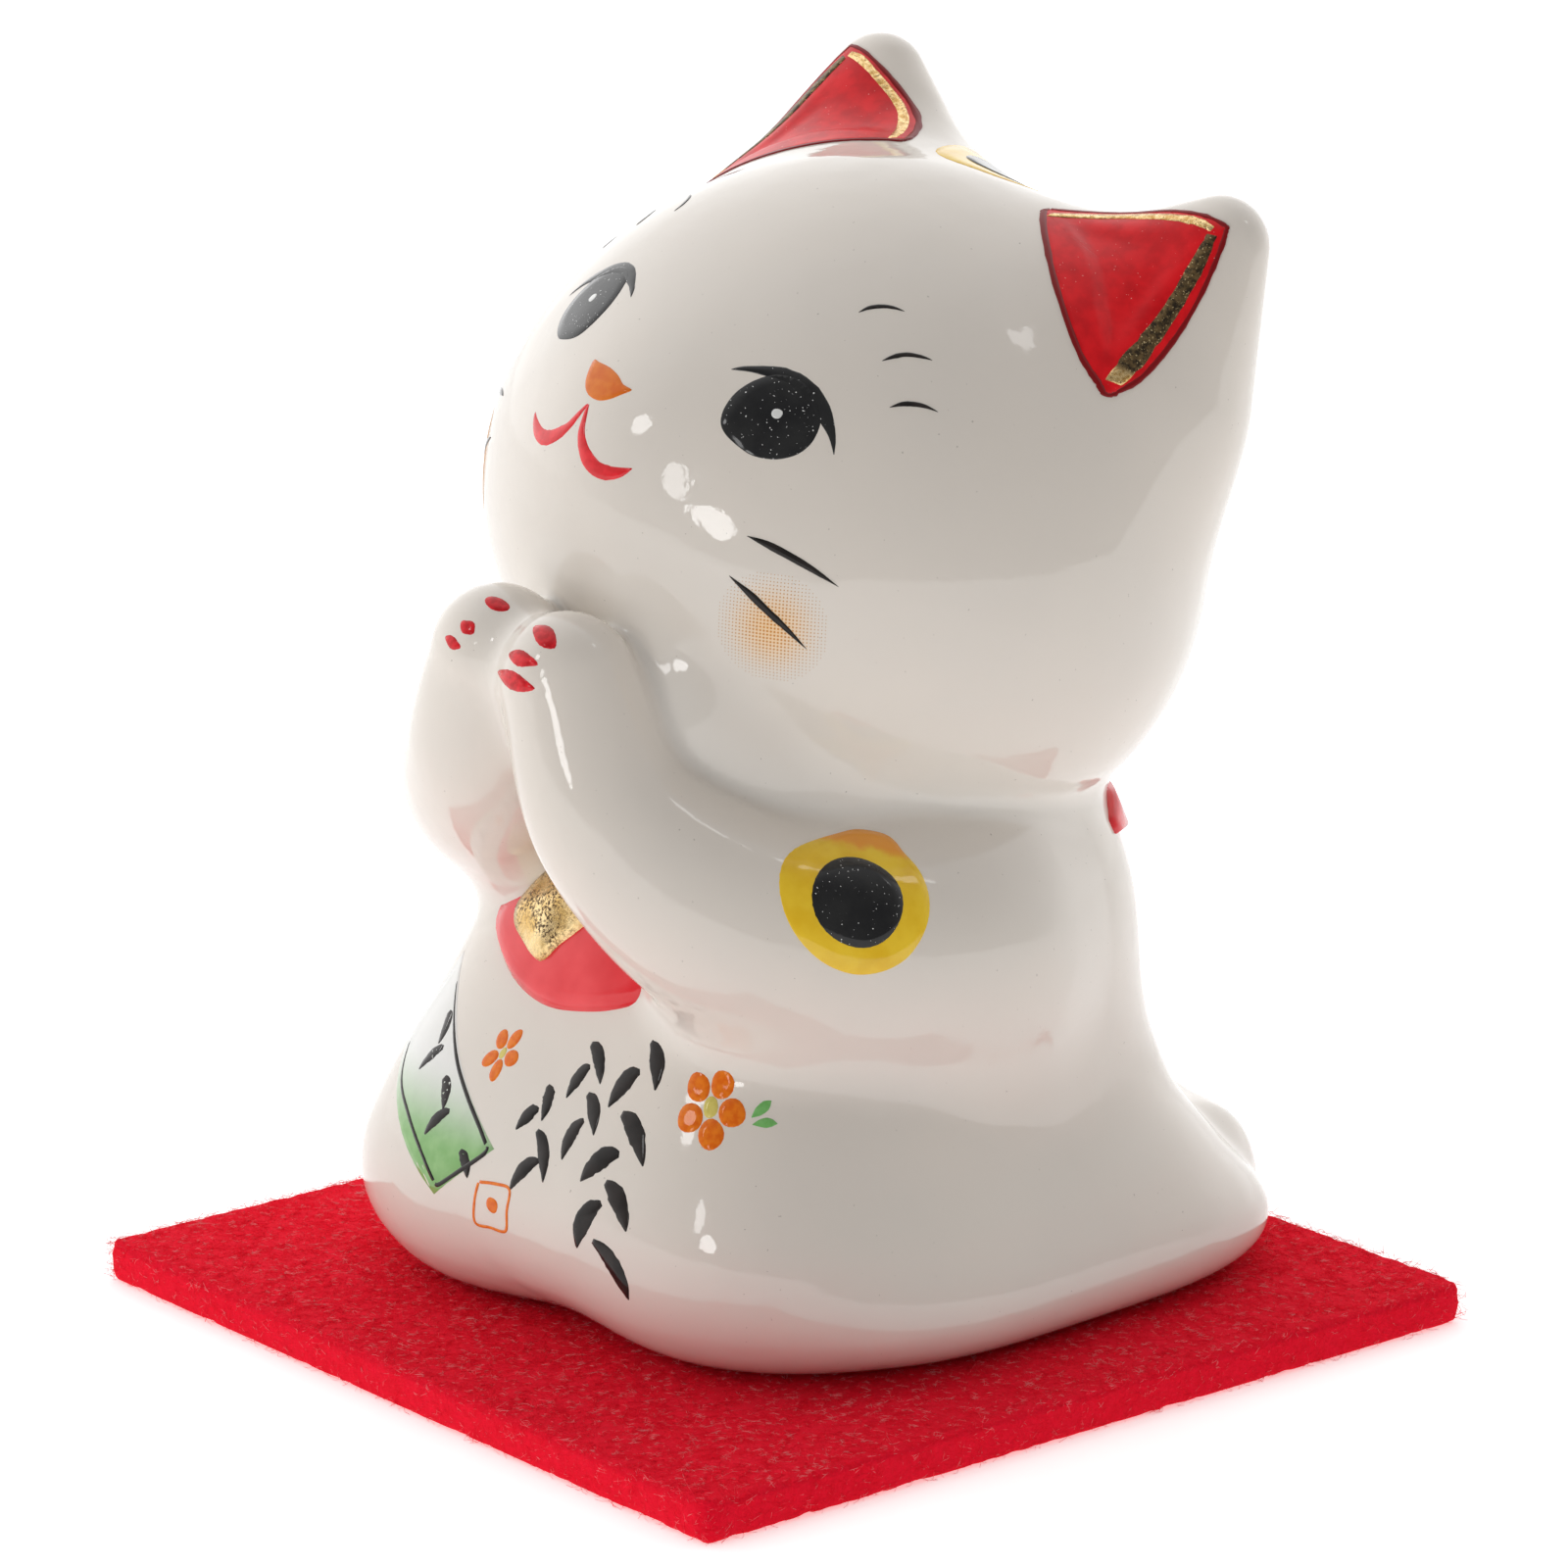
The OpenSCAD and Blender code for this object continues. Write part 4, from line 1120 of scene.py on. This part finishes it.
def felt_slab():
    """Pressed felt with a soft, slightly ragged edge."""
    rng = np.random.default_rng(5)
    half, n = MAT_SIDE / 2, SLAB_GRID
    s = np.linspace(-1, 1, n)
    gx, gy = np.meshgrid(s, s, indexing="ij")
    ripple = rng.standard_normal((n, n))
    for _ in range(2):
        shifts = [np.roll(ripple, by, (0, 1)) for by in ((1, 0), (0, 1), (1, 1))]
        ripple = sum(shifts, ripple) / 4
    corner = np.clip((np.abs(gx) ** 40 + np.abs(gy) ** 40), 1, 2) ** (-1 / 60)
    edge = np.maximum(np.abs(gx), np.abs(gy))
    near = np.clip((edge - 1 + RIM_WIDTH) / RIM_WIDTH, 0, 1)
    reach = half * corner * np.where(near > 0, 1 - FRAY * np.abs(ripple), 1)
    points, faces = [], []
    for level, out in ((MAT_T, 1), (0, -1)):
        z = level + out * (ripple * NAP - RIM_FALL * near**2 - 0.05)
        z = np.clip(z, 0.0, MAT_T + 0.1)
        points.append(np.stack([gx * reach, gy * reach, z], -1).reshape(-1, 3))
    for quad in grid_quads(n, n):
        faces += [quad, tuple(v + n * n for v in reversed(quad))]
    rim = grid_rim(n, n)
    top, low = points[0][rim], points[1][rim]
    rings = [rim]
    count = 2 * n * n
    for level in SIDE_LEVELS:
        ring = low + (top - low) * level
        fray = 0.0009 * rng.standard_normal(len(rim))[:, None]
        swell = 1 + 0.004 * (1 - abs(2 * level - 1)) + fray
        ring[:, :2] = np.clip(ring[:, :2] * swell, -half, half)
        points.append(ring)
        rings.append(list(range(count, count + len(rim))))
        count += len(rim)
    rings.append([v + n * n for v in rim])
    for a, b in zip(rings, rings[1:]):
        for j in range(len(rim)):
            k = (j + 1) % len(rim)
            faces.append((a[k], a[j], b[j], b[k]))
    obj = felt_piece("felt_slab", np.concatenate(points), faces, felt())
    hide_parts("felt_mat")
    return obj


def fibres(name, seed, long_hair, shader):
    """Three-sided hairs, most of them lying in the nap, a few standing out."""
    rng = np.random.default_rng(seed)
    half = MAT_SIDE / 2
    total = FIBRES + STRAYS
    at = rng.uniform(-half + 0.2, half - 0.2, (total, 2))
    on_edge = rng.random(total) < 0.2
    side = rng.integers(0, 4, total)
    reach = half - 0.12
    for k, (axis, sign) in enumerate(((0, 1), (0, -1), (1, 1), (1, -1))):
        at[on_edge & (side == k), axis] = sign * reach
    z = np.full(total, MAT_T - 0.05)
    z[on_edge] = rng.uniform(0.2, MAT_T - 0.1, on_edge.sum())
    length = rng.uniform(0.5, 1.7, total)
    length[FIBRES:] = rng.uniform(2.5, 5, STRAYS)
    heading = rng.uniform(0, 2 * math.pi, total)
    bend = rng.normal(0, 0.7, total)
    lift = np.abs(rng.normal(0.07, 0.05, total))
    lift[FIBRES:] = rng.uniform(0.2, 0.6, STRAYS)
    rise = np.where(on_edge, rng.normal(0, 0.5, total), 0)
    p = np.zeros((total, STEPS, 3))
    cursor = np.concatenate([at, z[:, None]], 1)
    for k in range(STEPS):
        t = k / (STEPS - 1)
        p[:, k] = cursor
        p[:, k, 2] += np.where(on_edge, rise * t, lift * math.sin(math.pi * t) + 0.02)
        a = heading + bend * t
        cursor[:, :2] += np.stack([np.cos(a), np.sin(a)], 1) * (length / (STEPS - 1))[:, None]
    if long_hair:
        p[-1] = long_hair
    limit = half + np.where(rng.random(total) < 0.6, 0.05, 0.2)
    p[..., :2] = np.clip(p[..., :2], -limit[:, None, None], limit[:, None, None])
    p[..., 2] = np.clip(p[..., 2], 0.05, MAT_T + 0.6)
    radius = rng.uniform(0.009, 0.017, total)
    radius[-1] = 0.028
    d = unit(np.gradient(p, axis=1))
    u = unit(np.cross(d, [0, 0, 1.0]))
    v = np.cross(u, d)
    rings = np.stack([
        p + (u * math.cos(a) + v * math.sin(a)) * radius[:, None, None]
        for a in (math.pi / 2, math.pi * 7 / 6, math.pi * 11 / 6)
    ], 2)
    base = np.arange(total) * STEPS * 3
    quads = []
    for k in range(STEPS - 1):
        for j in range(3):
            a, b = base + k * 3 + j, base + k * 3 + (j + 1) % 3
            quads.append(np.stack([a, a + 3, b + 3, b], 1))
    faces = [tuple(f) for f in np.concatenate(quads).tolist()]
    last = (STEPS - 1) * 3
    faces += [(b, b + 1, b + 2) for b in base.tolist()]
    faces += [(b + last + 2, b + last + 1, b + last) for b in base.tolist()]
    felt_piece(name, rings.reshape(-1, 3), faces, shader)


studio()
split_castings(*skin_mesh(), glaze())
paint_ears()
line_black, yellow, black = paint_face()
paint_reliefs()
paint_arms(yellow, black)
orange = enamel("petal_orange", (0.74, 0.13, 0.003), (0.84, 0.21, 0.010), 0.5, shine=0.3)
paint_flowers(orange)
paint_prints(orange, line_black)
fluff = lint()
slab = felt_slab()
for k, hair in enumerate((LONG_HAIR, None, None)):
    fibres("felt_fibres_%d" % (k + 1), 11 + k, hair, fluff)
